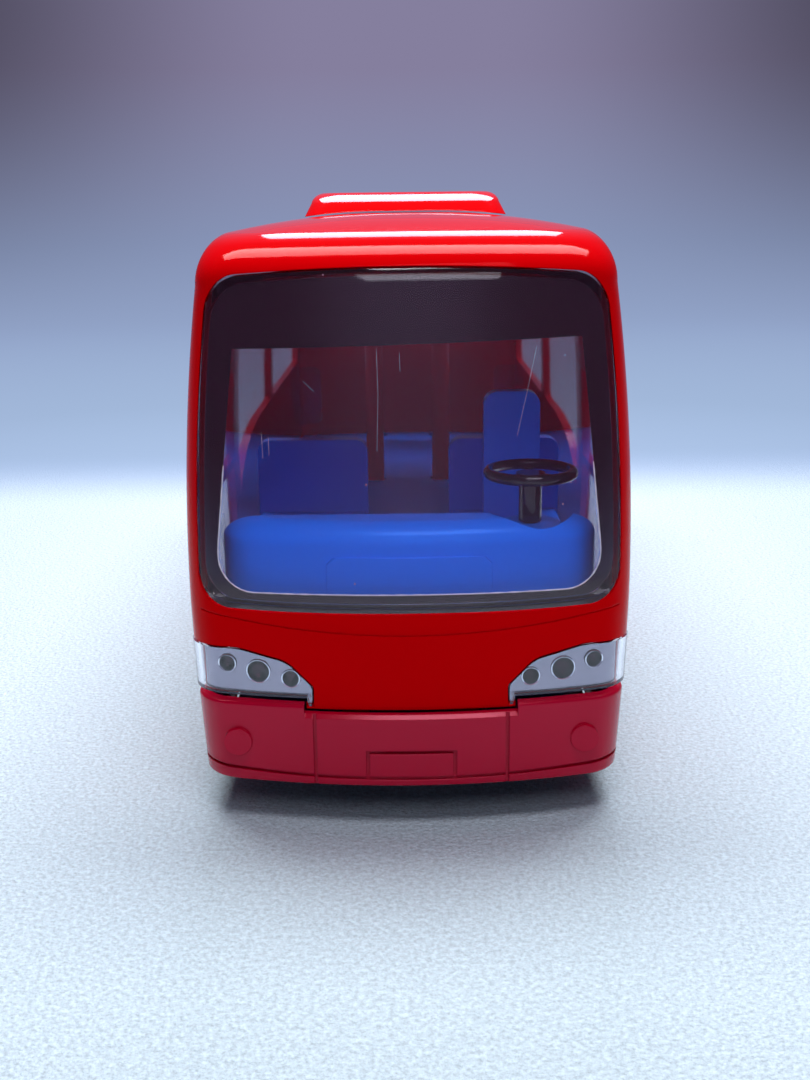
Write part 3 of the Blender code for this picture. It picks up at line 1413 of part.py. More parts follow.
def make_dash():
    """The dashboard: it follows the nose's plan shape and has a boss for the steering column behind it."""
    rings = []
    low = FLOOR_Z
    round_z = DASH_TOP_Z - DASH_ROUND
    levels = [(low, 0.0), ((low + round_z) / 2, 0.0)]
    angles = [math.pi / 2 * i / CORNER_STEPS for i in range(CORNER_STEPS + 1)]
    levels += [(round_z + DASH_ROUND * math.sin(a), DASH_ROUND * (1 - math.cos(a))) for a in angles]
    for z, drawn in levels:
        skin = skin_at(z)
        inset = DASH_INSET + drawn
        rings.append(plan_ring(z, skin.half - inset, skin.front + inset, skin.rear - inset, DASH_CORNER))
    dash = loft("dash", rings)
    keep(dash, block("back", (-BODY_WIDTH, front_y(), 0.0), (BODY_WIDTH, y_at(DASH_BACK), SHOULDER_Z)))
    centre = steering_place()
    floor_z = DASH_TOP_Z - STEERING_DISH_DEPTH
    foot = FLOOR_Z + FLOOR_THICKNESS / 2
    join(dash, rod("boss", "Z", centre, STEERING_BOSS_RADIUS, foot, floor_z - GAP / 3))
    cut(dash, rod("dish", "Z", centre, STEERING_DISH_RADIUS, floor_z, DASH_TOP_Z + BEYOND))
    return dash


def make_cabin():
    """The blue moulding: floor, dashboard, driver's seat and passenger seats in one piece."""
    skin = skin_at(FLOOR_Z)
    inset = FLOOR_INSET
    floor_top = FLOOR_Z + FLOOR_THICKNESS
    half, front, rear = skin.half - inset, skin.front + DASH_INSET, skin.rear - inset
    radius = CORNER_RADIUS - inset
    rings = [plan_ring(z, half, front, rear, radius) for z in (FLOOR_Z, floor_top)]
    cabin = loft("cabin", rings)
    behind_lamps = y_at(LAMP_WRAP + GAP)
    cut(cabin, block("front", (-BODY_WIDTH, front_y(), 0.0), (BODY_WIDTH, behind_lamps, SHOULDER_Z)))
    join(cabin, make_dash())
    foot = floor_top - FLOOR_THICKNESS / 2
    top = floor_top + SEAT_HEIGHT
    cushion_top = floor_top + SEAT_CUSHION_HEIGHT
    for side in (LEFT, RIGHT):
        low_x, high_x = sorted((side * SEAT_INNER_X, side * x_at(SEAT_IN)))
        join(cabin, seat("seat", low_x, high_x, SEAT_BACK, foot, top, cushion_top, SEAT_CUSHION))
    low_x, high_x = x_at(DRIVER_SEAT_IN) - DRIVER_SEAT_HALF, x_at(DRIVER_SEAT_IN) + DRIVER_SEAT_HALF
    back, top, cushion_top = DRIVER_SEAT_BACK, DRIVER_SEAT_TOP_Z, floor_top + DRIVER_CUSHION_HEIGHT
    join(cabin, seat("driver", low_x, high_x, back, foot, top, cushion_top, DRIVER_CUSHION))
    for x, y in cabin_leg_places():
        join(cabin, rod("leg", "Z", (x, y), CABIN_LEG_RADIUS, chassis_top_z() + GAP, foot, SMALL_SIDES))
    under, over = FLOOR_Z - BEYOND, floor_top + BEYOND
    for _, x, y, _ in post_places():
        cut(cabin, rod("hole", "Z", (x, y), POST_RADIUS + GAP * 2, under, over, SMALL_SIDES))
    hole, under, over = STEERING_PEG_RADIUS + SHAFT_CLEARANCE, steering_peg_foot() - GAP, DASH_TOP_Z + BEYOND
    cut(cabin, rod("peg_hole", "Z", steering_place(), hole, under, over))
    return finish(cabin, "cabin_blue")


def cabin_leg_places():
    """The floor's four legs stand between the axles, on the chassis pan."""
    first = FRONT_AXLE_BACK + WHEEL_WELL_LENGTH / 2 + CABIN_LEG_ROOM
    last = rear_axle_back() - WHEEL_WELL_LENGTH / 2 - CABIN_LEG_ROOM
    return [(side * x_at(CABIN_LEG_IN), y_at(back)) for side in (LEFT, RIGHT) for back in (first, last)]


def steering_place():
    """The x and y of the steering column's axis."""
    return x_at(STEERING_IN), y_at(STEERING_BACK)


def steering_peg_foot():
    return DASH_TOP_Z - STEERING_DISH_DEPTH - STEERING_PEG_DEPTH


def make_steering_wheel():
    """A round rim on spokes and a column whose peg turns in the dashboard."""
    x, y = steering_place()
    dish = DASH_TOP_Z - STEERING_DISH_DEPTH + GAP
    hub_z = STEERING_Z - STEERING_HUB_HEIGHT
    wheel = rod("steering_wheel", "Z", (x, y), STEERING_COLUMN_RADIUS, dish, hub_z, COLUMN_SIDES)
    join(wheel, rod("peg", "Z", (x, y), STEERING_PEG_RADIUS, steering_peg_foot(), dish + GAP))
    join(wheel, rod("hub", "Z", (x, y), STEERING_HUB_RADIUS, hub_z - GAP, STEERING_Z, COLUMN_SIDES))
    rim_centre = STEERING_RADIUS - STEERING_RIM
    bm = bmesh.new()
    sides, around = TYRE_SIDES, 6
    rows = []
    for i in range(sides):
        a = 2 * math.pi * i / sides
        ring = []
        for j in range(around):
            b = 2 * math.pi * j / around
            reach, z = rim_centre + STEERING_RIM * math.cos(b), STEERING_Z + STEERING_RIM * math.sin(b)
            ring.append(bm.verts.new((x + reach * math.cos(a), y + reach * math.sin(a), z)))
        rows.append(ring)
    for i in range(sides):
        here, there = rows[i], rows[(i + 1) % sides]
        for j in range(around):
            k = (j + 1) % around
            bm.faces.new((here[j], there[j], there[k], here[k]))
    join(wheel, object_from("rim", bm))
    thin, flat = SPOKE_WIDTH / 2, SPOKE_THICKNESS / 2
    for i in range(STEERING_SPOKES):
        a = math.pi / 2 + 2 * math.pi * i / STEERING_SPOKES
        spoke = block("spoke", (0.0, -thin, -flat), (rim_centre, thin, flat))
        spoke.data.transform(Matrix.Translation((x, y, STEERING_Z - SPOKE_DROP)) @ Matrix.Rotation(a, 4, "Z"))
        join(wheel, spoke)
    return finish(wheel, "black", (x, y, steering_peg_foot()))


def main():
    clear_scene()
    make_body_shell()
    make_windscreen()
    make_side_glass(LEFT, "side_glass_left")
    make_side_glass(RIGHT, "side_glass_right")
    make_rear_window()
    make_roof_pod()
    for side, word in ((LEFT, "left"), (RIGHT, "right")):
        make_head_lamp(side, word)
        make_tail_lamp(side, word)
    make_front_bumper()
    make_rear_bumper()
    make_chassis()
    make_cabin()
    make_steering_wheel()
    for word, back in axle_backs().items():
        make_axle(word, back)
        make_wheel(word, back, LEFT, "left")
        make_wheel(word, back, RIGHT, "right")
    make_gears()
    make_motor_case()
    make_screws()


if __name__ == "__main__":
    main()
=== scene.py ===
"""A glossy red toy coach with a see-through cabin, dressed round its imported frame.

The bus faces -Y, the driver sits on the +X side and the ground is z = 0. All sizes are in metres.
A distance called "back" is measured from the face of the front bumper towards the rear.
"""

import json
import math
from collections import namedtuple
from functools import cache

import bmesh
import bpy
from bpy.props import FloatProperty, FloatVectorProperty, IntProperty, PointerProperty
from mathutils import Matrix, Vector
from mathutils.bvhtree import BVHTree
from mathutils.interpolate import poly_3d_calc


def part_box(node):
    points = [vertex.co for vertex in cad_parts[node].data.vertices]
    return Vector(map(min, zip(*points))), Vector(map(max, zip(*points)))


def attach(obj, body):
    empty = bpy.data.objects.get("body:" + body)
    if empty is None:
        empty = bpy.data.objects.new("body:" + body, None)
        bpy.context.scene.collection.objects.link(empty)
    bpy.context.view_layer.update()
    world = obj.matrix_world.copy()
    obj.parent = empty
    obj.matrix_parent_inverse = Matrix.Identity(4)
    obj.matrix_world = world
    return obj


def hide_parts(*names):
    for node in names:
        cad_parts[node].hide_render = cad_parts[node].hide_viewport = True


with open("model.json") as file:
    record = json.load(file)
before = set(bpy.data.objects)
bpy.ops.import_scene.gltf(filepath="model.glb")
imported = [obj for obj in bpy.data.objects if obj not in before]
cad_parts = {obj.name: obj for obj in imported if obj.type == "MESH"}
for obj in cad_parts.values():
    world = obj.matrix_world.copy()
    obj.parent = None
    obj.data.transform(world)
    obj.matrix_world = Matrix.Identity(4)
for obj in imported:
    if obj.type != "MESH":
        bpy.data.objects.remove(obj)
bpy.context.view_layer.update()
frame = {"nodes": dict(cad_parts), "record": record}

bl_info = {
    "name": "Toy Coach",
    "version": (1, 0, 0),
    "blender": (4, 5, 0),
    "location": "View3D > Sidebar > Coach",
    "description": "Dresses a toy coach with a see-through cabin, piece by piece",
    "category": "Object",
}

# Body moulding
GAP = 0.0003
BODY_LENGTH = 0.236
BODY_WIDTH = 0.0796
WALL = 0.002
SKIRT_Z = 0.009
WAIST_Z = 0.052
SHOULDER_Z = 0.0940
ROOF_EDGE_Z = 0.1030
ROOF_CAMBER = 0.0030
LOWER_TUCK = 0.0016
UPPER_TUCK = 0.0023
SHOULDER_INSET = 0.0042
FOREHEAD_INSET = 0.0120
TAIL_INSET = 0.008
CROWN_SETBACK = 0.030
RIDGE_HALF = 0.006
CORNER_RADIUS = 0.0055
CROWN_ROUNDING = 0.0060
FRONT_BOW = 0.0056
REAR_BOW = 0.004
FASCIA_SETBACK = 0.0022
TAIL_SETBACK = 0.0015
SCREEN_RAKE = 0.0110
TAIL_RAKE = 0.0050
RAKE_CURVE = 1.3

# Windscreen
SCREEN_FOOT_Z = 0.0391
SCREEN_TOP_Z = 0.0975
SCREEN_ARCH = 0.0016
SCREEN_FOOT_RISE = 0.0006
SCREEN_CORNER = 0.0058
SCREEN_EDGE = 0.0026
SCREEN_REACH = 0.0120
GLASS_THICKNESS = 0.0012
GLASS_RIM = 0.0013
GLASS_PROUD = 0.00015
PRINT_FOOT_Z = 0.0422
PRINT_FOOT_HALF = 0.0341
PRINT_TOP_HALF = 0.0302
PRINT_TOP_Z = (0.0837, 0.0852)
PRINT_CORNER = 0.0062
PRINT_TOP_CORNER = 0.0004
PRINT_THICKNESS = 0.0001
# The screen bead is a white line painted as a highlight along the print's edge: where it runs up the sides,
# and how far below the print's top it stops
HIGHLIGHT_LINE_HEIGHTS = (0.064, 0.056, 0.050)
HIGHLIGHT_LINE_BREAK = 0.002
SCRATCH_RADIUS = 0.00003
SCRATCHES = (
    ((-0.0052, 0.0838), (-0.0050, 0.0765), (-0.0053, 0.0668)),
    ((-0.0013, 0.0832), (-0.0012, 0.0800)),
    ((0.0222, 0.0838), (0.0204, 0.0760), (0.0187, 0.0690)),
    ((-0.0178, 0.0785), (-0.0160, 0.0768)),
    ((-0.0252, 0.0700), (-0.0250, 0.0655)),
    ((-0.0240, 0.0690), (-0.0239, 0.0660)),
)

# Side and rear windows
WINDOW_TOP_Z = 0.0860
WINDOW_CORNER = 0.0025
DOOR_GLASS_BACK = 0.0200
DOOR_GLASS_FOOT_Z = 0.0350
DOOR_GLASS_TOP_Z = 0.0745
DOOR_GLASS_END = 0.0580
DOOR_GLASS_LEAN = 0.0070
CROSSBAR_Z = 0.0555
CROSSBAR_HEIGHT = 0.0018
FIRST_WINDOW_BACK = 0.0660
FIRST_WINDOW_FOOT_Z = 0.0450
BELT_Z = 0.0575
BELT_SWEEP = 0.0450
MIDDLE_POST_BACK = 0.1330
MIDDLE_POST_WIDTH = 0.0050
REAR_PILLAR = 0.0190
SIDE_GLASS_OVERLAP = 0.0018
REAR_WINDOW_HALF = 0.0270
REAR_WINDOW_FOOT_Z = 0.0660
REAR_WINDOW_CORNER = 0.0040

# Lamps
LAMP_TIP_X = 0.0171
LAMP_TIP_DROP = 0.0022
LAMP_TIP_ROUND = 0.0016
LAMP_TOP_Z = 0.0324
LAMP_FOOT_Z = 0.0232
LAMP_HOOK_X = 0.0183
LAMP_HOOK_Z = 0.0217
LAMP_HOOK_LEAN = 0.0004
LAMP_TIP_LEAN = 0.0001
LAMP_WRAP = 0.0155
LAMP_SHOULDER_X = 0.0218
LAMP_SHOULDER_Z = 0.0303
LAMP_SHOULDER_ROUND = 0.0060
LAMP_TOP_ROUND = 0.0100
LENS_THICKNESS = 0.0010
SURROUND_THICKNESS = 0.0006
REFLECTOR_DEPTH = 0.0028
REFLECTOR_OUTER_X = 0.0366
REFLECTOR_FLOOR = 0.62
LAMP_CUPS = ((0.0212, 0.0267, 0.00145), (0.0270, 0.0278, 0.00195), (0.0326, 0.0290, 0.00140))
CUP_RING = 0.0003
TAIL_LAMP_X = 0.0300
TAIL_LAMP_FOOT_Z = 0.0340
TAIL_LAMP_TOP_Z = 0.0540
TAIL_LAMP_WRAP = 0.0120
TAIL_LAMP_CORNER = 0.0025
TAIL_LAMP_GAP = 0.00003

# Bumpers
BUMPER_FOOT_Z = 0.0078
BUMPER_CENTRE_Z = 0.0212
BUMPER_CORNER_Z = 0.0229
BUMPER_STEP_X = 0.0188
BUMPER_REACH = 0.0260
BUMPER_WALL = 0.0018
BUMPER_SIDE_STEP = 0.0005
BUMPER_EDGE = 0.0006
LEDGE_DEPTH = 0.00072
LEDGE_RISE = 0.00065
BUMPER_GROOVE_DEPTH = 0.0008
PANEL_LINE_X = 0.0170
PANEL_LINE = 0.0006
LIP_Z = 0.0094
LIP_RISE = 0.0014
PLATE_HALF = 0.0080
PLATE_TOP_Z = 0.0146
FOG_DISC_X = 0.0309
FOG_DISC_Z = 0.0154
FOG_DISC_RADIUS = 0.0025
FOG_DISC_PROUD = 0.0008

# Relief on the body
GROOVE_WIDTH = 0.0006
GROOVE_DEPTH = 0.0005
DOOR_FRONT_BACK = 0.0175
DOOR_REAR_BACK = 0.0590
DOOR_FOOT_Z = 0.0125
LOCKER_TOP_Z = 0.0330
LOCKER_COUNT = 3
LOCKER_MARGIN = 0.0030
LOCKER_FOOT_Z = 0.0105
LOUVRE_HALF = 0.0200
LOUVRE_HEIGHT = 0.0014
LOUVRE_PITCH = 0.0032
LOUVRE_FOOT_Z = 0.0300
SEAM_DROP = 0.0038
SEAM_RISE = 0.0036
SEAM_HEIGHT = 0.00024
SEAM_DEPTH = 0.00015

# Roof unit
POD_HALF_WIDTH = 0.0226
POD_LENGTH = 0.066
POD_BACK = 0.066
POD_TOP_Z = 0.1103
POD_TAPER = 0.0046
POD_CORNER = 0.0050
POD_NOSE_Z = 0.1056
POD_NOSE_SLOPE = 3.0
POD_CROWN = 0.0022
POD_SLAT_HALF = 0.01017
POD_SLAT_PITCH = 0.0030

# Wheels, posts and cabin
FRONT_AXLE_BACK = 0.0720
REAR_AXLE_BACK = 0.1780
TYRE_RADIUS = 0.0130
TYRE_WIDTH = 0.0090
TYRE_OUTER_X = 0.0362
RIM_RADIUS = 0.0084
TREAD_HEIGHT = 0.0004
TREAD_HALF = 0.0010
TREAD_ROW_PITCH = 0.0023
TREAD_SHARE = 0.36
TREAD_SLACK = 0.00002
TYRE_SHOULDER = 0.0014
HUB_INNER_X = 0.0223
HUB_BOSS = 0.0025
HUB_BORE = 0.00133
HUB_HOLES = 8
HUB_WEB = 0.0005
HUB_HOLE_RADIUS = 0.0009
HUB_HOLE_REACH = 0.0062
HUB_HOLE_DEPTH = 0.0040
# The hub's outer face from its rim to its cap, as (depth inside the tyre's outer face, radius)
HUB_FACE = (
    (0.0011, 0.0084), (0.0008, 0.0081), (0.0008, 0.0074), (0.0011, 0.0070), (0.0020, 0.0066),
    (0.0024, 0.0050), (0.0024, 0.00375), (0.0016, 0.00325), (0.0008, 0.0025), (0.0006, 0.0020),
    (0.0006, 0.0), (0.0016, 0.0),
)
ARCH_CLEARANCE = 0.0020
POST_RADIUS = 0.0025
POST_FOOT_Z = 0.0113
END_POST_X = 0.0100
END_POST_BACK = 0.0085
POST_WEB_HEIGHT = 0.0040
POST_WEB_WIDTH = 0.0016
MIDDLE_POST_X = 0.0095
MIDDLE_POST_PLACE = 0.1553
CHASSIS_TOP_Z = 0.0098
FLOOR_Z = 0.0288
FLOOR_THICKNESS = 0.0015
FLOOR_INSET = 0.0026
DASH_INSET = 0.0056
DASH_TOP_Z = 0.0532
DASH_ROUND = 0.0040
DASH_CORNER = 0.0060
DASH_BACK = 0.0185
DASH_PANEL_HALF = 0.0146
DASH_PANEL_TOP_Z = 0.0476
DASH_PANEL_CORNER = 0.0015
SEAT_BACK = 0.0720
SEAT_HEIGHT = 0.0268
SEAT_THICKNESS = 0.0036
SEAT_CUSHION = 0.0120
SEAT_CUSHION_HEIGHT = 0.0105
SEAT_INNER_X = 0.0091
SEAT_OUTER_X = 0.0336
SEAT_CORNER = 0.0028
SEAT_EDGE = 0.0015
DRIVER_SEAT_X = 0.0208
DRIVER_SEAT_HALF = 0.0056
DRIVER_SEAT_BACK = 0.0450
DRIVER_SEAT_TOP_Z = 0.0714
CABIN_LEG_RADIUS = 0.0022
CABIN_LEG_X = 0.0290
CABIN_LEG_RUN = 0.0240

# Steering wheel
STEERING_X = 0.0222
STEERING_BACK = 0.0205
STEERING_Z = 0.0602
STEERING_RADIUS = 0.0086
STEERING_RIM = 0.0010
STEERING_COLUMN_RADIUS = 0.0021
STEERING_PEG_RADIUS = 0.0014
STEERING_PEG_DEPTH = 0.0063
STEERING_HUB_DEPTH = 0.0012
STEERING_DISH_RADIUS = 0.0078
STEERING_DISH_DEPTH = 0.0022
STEERING_BOSS_RADIUS = 0.0055
STEERING_SPOKES = 3

# Body screws
SCREW_HEAD = 0.0018
SCREW_HEAD_HEIGHT = 0.0010
SCREW_SHANK = 0.0007
SCREW_LENGTH = 0.0080
SCREW_SLOT_HALF = 0.00025

# The set
STAGE_FLAT = 0.9
STAGE_BEND = 0.5
STAGE_WALL = 1.5

# Camera, fitted to the photograph
PHOTO_HEIGHT = 1080
FOCAL_PIXELS = 1250
SENSOR = 36
CAMERA_PLACE = (0.0, -0.3209, 0.1075)
CAMERA_TILT = math.radians(75)
CAMERA_TURN = 0.0034
CAMERA_ROLL = -0.0125

# Fineness of the curved surfaces
BOW_STEPS = 18
CORNER_STEPS = 10
WALL_STEPS = 22
SHOULDER_STEPS = 16
CAMBER_STEPS = 8
ROUND_SIDES = 48
TURNED_STEPS = 96
BAND_STEPS = 30
HAIRLINE_STEP = 0.0015
FILLET_STEPS = 9
SCREEN_COLUMNS = 30
SCREEN_ROWS = 16
SHARP_ANGLE = math.radians(32)

# How far a cutter runs past what it cuts, and how close points are one point
BEYOND = 0.005
MERGE = 1e-6

LEFT, RIGHT = -1, 1
SIDES = ((LEFT, "left"), (RIGHT, "right"))
Skin = namedtuple("Skin", "half front rear")


def linear(code):
    """A colour written as an sRGB hex value, turned to Blender's linear values."""
    channels = [int(code[i:i + 2], 16) / 255 for i in (1, 3, 5)]
    return tuple(c / 12.92 if c <= 0.04045 else ((c + 0.055) / 1.055) ** 2.4 for c in channels)


def colour_property(name, description, code):
    return FloatVectorProperty(
        name=name, description=description, subtype="COLOR", size=3, min=0.0, max=1.0, default=linear(code)
    )


class CoachColours(bpy.types.PropertyGroup):
    """The colours of the coach's mouldings and of the set it stands on."""

    body: colour_property("Body", "Polished red of the shell and the roof unit", "#DC0006")
    bumper: colour_property("Bumper", "Satin crimson of the bumpers", "#C4002E")
    cabin: colour_property("Cabin", "Blue of the floor, dashboard and seats", "#0078FF")
    border: colour_property("Border", "Black print round the windscreen", "#120E10")
    glass: colour_property("Glass", "Tint of the clear mouldings", "#F2F3FA")
    silver: colour_property("Silver", "Silvered trays of the head lamps", "#ACA6B2")
    tail: colour_property("Tail lamps", "Red of the tail lamps", "#C30A0C")
    rubber: colour_property("Rubber", "Black of the tyres", "#191919")
    black: colour_property("Black", "Black of the chassis and steering wheel", "#121214")
    hub: colour_property("Hub", "Silver paint of the hubs", "#C2C5CB")
    steel: colour_property("Steel", "Bare steel of the axles and screws", "#C0C1C4")
    gear: colour_property("Gear", "Natural white of the gears and their case", "#E4DFD2")
    foam: colour_property("Foam", "Foam sheet under the coach", "#DCF2FF")
    # The cloth's colours run from light where it meets the foam to dark at the top: painted shade
    near_cloth: colour_property("Near cloth", "Cloth where it meets the foam", "#B4CCF0")
    shaded_far_cloth: colour_property("Far cloth", "Cloth at the top of the picture", "#857F9E")


class CoachSizes(bpy.types.PropertyGroup):
    """Sizes of what the frame leaves to the finish."""

    edge: FloatProperty(
        name="Edge radius", description="Radius of the mouldings' edges",
        default=0.00025, min=0.0, unit="LENGTH",
    )
    # The screen bead is a white line painted as a highlight inside the print
    bead: FloatProperty(
        name="Screen bead", description="Radius of the bright bead inside the windscreen's print",
        default=0.00016, min=0.0, unit="LENGTH",
    )
    tread_blocks: IntProperty(
        name="Tread blocks", description="Blocks round each tyre", default=36, min=8, max=80
    )
    pod_slats: IntProperty(
        name="Roof slats", description="Slats across the roof unit", default=7, min=1, max=15
    )
    louvres: IntProperty(name="Louvres", description="Slats on the engine cover", default=5, min=1, max=9)
    foam_grain: FloatProperty(
        name="Foam grain", description="Width of one cell of the foam sheet",
        default=0.0007, min=0.0001, unit="LENGTH",
    )


# Mesh helpers


def y_at(back):
    """The y of a point this far behind the front bumper's face."""
    return back - BODY_LENGTH / 2


def bent(face):
    """Whether a four-cornered face is not flat."""
    corners = [vert.co for vert in face.verts]
    if len(corners) != 4:
        return False
    across = (corners[2] - corners[0]).cross(corners[3] - corners[1])
    return across.length > 0 and abs(across.normalized().dot(corners[1] - corners[0])) > 1e-7


def placed(name, data):
    """A new object with this data, linked into the scene."""
    obj = bpy.data.objects.new(name, data)
    bpy.context.scene.collection.objects.link(obj)
    return obj


def evaluated_mesh(obj):
    """The plain mesh that an object comes to with its modifiers."""
    return bpy.data.meshes.new_from_object(obj.evaluated_get(bpy.context.evaluated_depsgraph_get()))


def applied(obj):
    """Makes what an object comes to with its modifiers its own mesh."""
    mesh = evaluated_mesh(obj)
    obj.modifiers.clear()
    obj.data = mesh
    return obj


def object_from(name, bm):
    """Turns a bmesh into an object whose faces are flat and point out."""
    bmesh.ops.triangulate(bm, faces=[face for face in bm.faces if bent(face)])
    bmesh.ops.recalc_face_normals(bm, faces=bm.faces)
    mesh = bpy.data.meshes.new(name)
    bm.to_mesh(mesh)
    bm.free()
    return placed(name, mesh)


def quarter(steps):
    """The steps of a quarter turn: how far it has risen and how far it has drawn in, from 0 to 1."""
    angles = [math.pi / 2 * i / steps for i in range(steps + 1)]
    return [(math.sin(angle), 1 - math.cos(angle)) for angle in angles]


def bridge(bm, rows, closed=False):
    """Faces between rings of vertices. A closed stack runs on from its last ring to its first."""
    following = rows[1:] + rows[:1] if closed else rows[1:]
    for near, far in zip(rows, following):
        for i in range(len(near)):
            j = (i + 1) % len(near)
            bm.faces.new((near[i], near[j], far[j], far[i]))


def add_tube(bm, steps, around, place):
    """A closed tube. place gives the point at a turn round the circle and a turn round the section."""
    rows = [
        [bm.verts.new(place(2 * math.pi * i / steps, 2 * math.pi * j / around)) for j in range(around)]
        for i in range(steps)
    ]
    bridge(bm, rows, closed=True)


def loft(name, rings):
    """A solid through closed rings of equal count, capped at both ends."""
    bm = bmesh.new()
    rows = [[bm.verts.new(point) for point in ring] for ring in rings]
    bridge(bm, rows)
    bm.faces.new(reversed(rows[0]))
    bm.faces.new(rows[-1])
    return object_from(name, bm)


def cup(name, outer, inner):
    """A wall between two stacks of rings, closed over at the top and open at the bottom."""
    bm = bmesh.new()
    stacks = [[[bm.verts.new(point) for point in ring] for ring in rings] for rings in (outer, inner)]
    for rows in stacks:
        bridge(bm, rows)
        bm.faces.new(rows[-1])
    bridge(bm, [stacks[0][0], stacks[1][0]])
    return object_from(name, bm)


def prism(name, outline, axis, start, end):
    """Extrudes a flat outline along X, Y or Z.

    The outline's pairs are the other two axes in X, Y, Z order."""
    def place(pair, along):
        first, second = pair
        return {"X": (along, first, second), "Y": (first, along, second), "Z": (first, second, along)}[axis]

    return loft(name, [[place(pair, start) for pair in outline], [place(pair, end) for pair in outline]])


def block(name, low, high):
    outline = ((low[0], low[1]), (high[0], low[1]), (high[0], high[1]), (low[0], high[1]))
    return prism(name, outline, "Z", low[2], high[2])


def slab(name, half, start, end):
    """A block across the body, from the ground to the shoulder."""
    return block(name, (-half, start, 0.0), (half, end, SHOULDER_Z))


def circle(centre, radius, sides):
    angles = (2 * math.pi * i / sides for i in range(sides))
    return [(centre[0] + radius * math.cos(a), centre[1] + radius * math.sin(a)) for a in angles]


def rod(name, axis, centre, radius, start, end, sides=ROUND_SIDES):
    """A round bar along an axis. The centre's pair is the other two axes in X, Y, Z order."""
    return prism(name, circle(centre, radius, sides), axis, start, end)


def rounded(corners):
    """A closed outline whose corners, given as (u, v, radius), are rounded by arcs."""
    points = []
    count = len(corners)
    for i, (u, v, radius) in enumerate(corners):
        here = Vector((u, v))
        before = (Vector(corners[i - 1][:2]) - here).normalized()
        after = (Vector(corners[(i + 1) % count][:2]) - here).normalized()
        half_turn = math.acos(max(-1.0, min(1.0, before.dot(after)))) / 2
        if radius <= 0 or half_turn > math.radians(88):
            points.append(tuple(here))
            continue
        run = radius / math.tan(half_turn)
        middle = here + (before + after).normalized() * (radius / math.sin(half_turn))
        first = here + before * run - middle
        last = here + after * run - middle
        sweep = first.angle_signed(last)
        for step in range(FILLET_STEPS + 1):
            turned_by = Matrix.Rotation(-sweep * step / FILLET_STEPS, 2) @ first
            points.append(tuple(middle + turned_by))
    return points


def box_outline(low, high, foot, top):
    """A box between two corners, with these radii at its foot and top corners."""
    (u0, v0), (u1, v1) = low, high
    return rounded([(u0, v0, foot), (u1, v0, foot), (u1, v1, top), (u0, v1, top)])


def turned(name, profile, axis_point):
    """A solid of revolution about a line along X. The closed profile's pairs are (x, radius)."""
    bm = bmesh.new()
    rows = []
    for i in range(TURNED_STEPS):
        angle = 2 * math.pi * i / TURNED_STEPS
        y, z = math.cos(angle), math.sin(angle)
        rows.append([bm.verts.new((x, axis_point[0] + r * y, axis_point[1] + r * z)) for x, r in profile])
    bridge(bm, rows, closed=True)
    bmesh.ops.remove_doubles(bm, verts=bm.verts, dist=MERGE)
    return object_from(name, bm)


def boolean(target, tool, operation):
    """Cuts, joins or keeps with another solid, which is then removed."""
    modifier = target.modifiers.new(operation, "BOOLEAN")
    modifier.operation = operation
    modifier.solver = "EXACT"
    modifier.object = tool
    applied(target)
    bpy.data.objects.remove(tool)
    return target


def cut(target, tool):
    return boolean(target, tool, "DIFFERENCE")


def join(target, tool):
    return boolean(target, tool, "UNION")


def keep(target, tool):
    return boolean(target, tool, "INTERSECT")


# The body's skin


def half_width(z):
    """Half the body's width at this height: widest at the waist, drawn in above and below."""
    if z < WAIST_Z:
        share, tuck = (WAIST_Z - z) / (WAIST_Z - SKIRT_Z), LOWER_TUCK
    else:
        share, tuck = (z - WAIST_Z) / (SHOULDER_Z - WAIST_Z), UPPER_TUCK
    return BODY_WIDTH / 2 - tuck * share**2


def drawn_in(turn, inset, run):
    """How far the shoulder's arc has drawn in, from 0 to 1. It ends in the roof's own slope."""
    slope = 2 * ROOF_CAMBER / run * inset / (ROOF_EDGE_Z - SHOULDER_Z)
    end = slope / (1 - slope)
    return (1 - math.sqrt(1 - turn * turn * (1 - end * end))) / (1 - end)


def skin_at(z):
    """Half width, front and rear of the outer skin at any height up to the roof's edge."""
    turn = min(1.0, max(0.0, (z - SHOULDER_Z) / (ROOF_EDGE_Z - SHOULDER_Z)))
    rise = max(0.0, min(z, SHOULDER_Z) - SCREEN_FOOT_Z) / (SCREEN_TOP_Z - SCREEN_FOOT_Z)
    lean = rise**RAKE_CURVE
    narrow = half_width(SHOULDER_Z) - SHOULDER_INSET - RIDGE_HALF
    side = SHOULDER_INSET * drawn_in(turn, SHOULDER_INSET, narrow)
    forehead = FOREHEAD_INSET * drawn_in(turn, FOREHEAD_INSET, CROWN_SETBACK)
    tail = TAIL_INSET * drawn_in(turn, TAIL_INSET, CROWN_SETBACK)
    return Skin(
        half_width(min(z, SHOULDER_Z)) - side,
        y_at(FASCIA_SETBACK + SCREEN_RAKE * lean + forehead),
        y_at(BODY_LENGTH - TAIL_SETBACK - TAIL_RAKE * lean - tail),
    )


def bowed_end(half, end_y, bow, radius, inward):
    """Points from the middle of a bowed end round its corner to the straight side."""
    flat = half - radius
    points = [(flat * i / BOW_STEPS, 0.0) for i in range(BOW_STEPS + 1)]
    points = [(x, end_y + inward * bow * (x / half) ** 2) for x, _ in points]
    start = Vector(points[-1])
    slope = 2 * bow * flat / half**2
    crossing = Vector((half, start.y + inward * slope * radius))
    finish_at = Vector((half, crossing.y + inward * radius))
    handle = 0.5523
    first = start.lerp(crossing, handle)
    second = finish_at.lerp(crossing, handle)
    for i in range(1, CORNER_STEPS + 1):
        t = i / CORNER_STEPS
        s = 1 - t
        points.append(tuple(start * s**3 + first * 3 * s * s * t + second * 3 * s * t * t + finish_at * t**3))
    return points


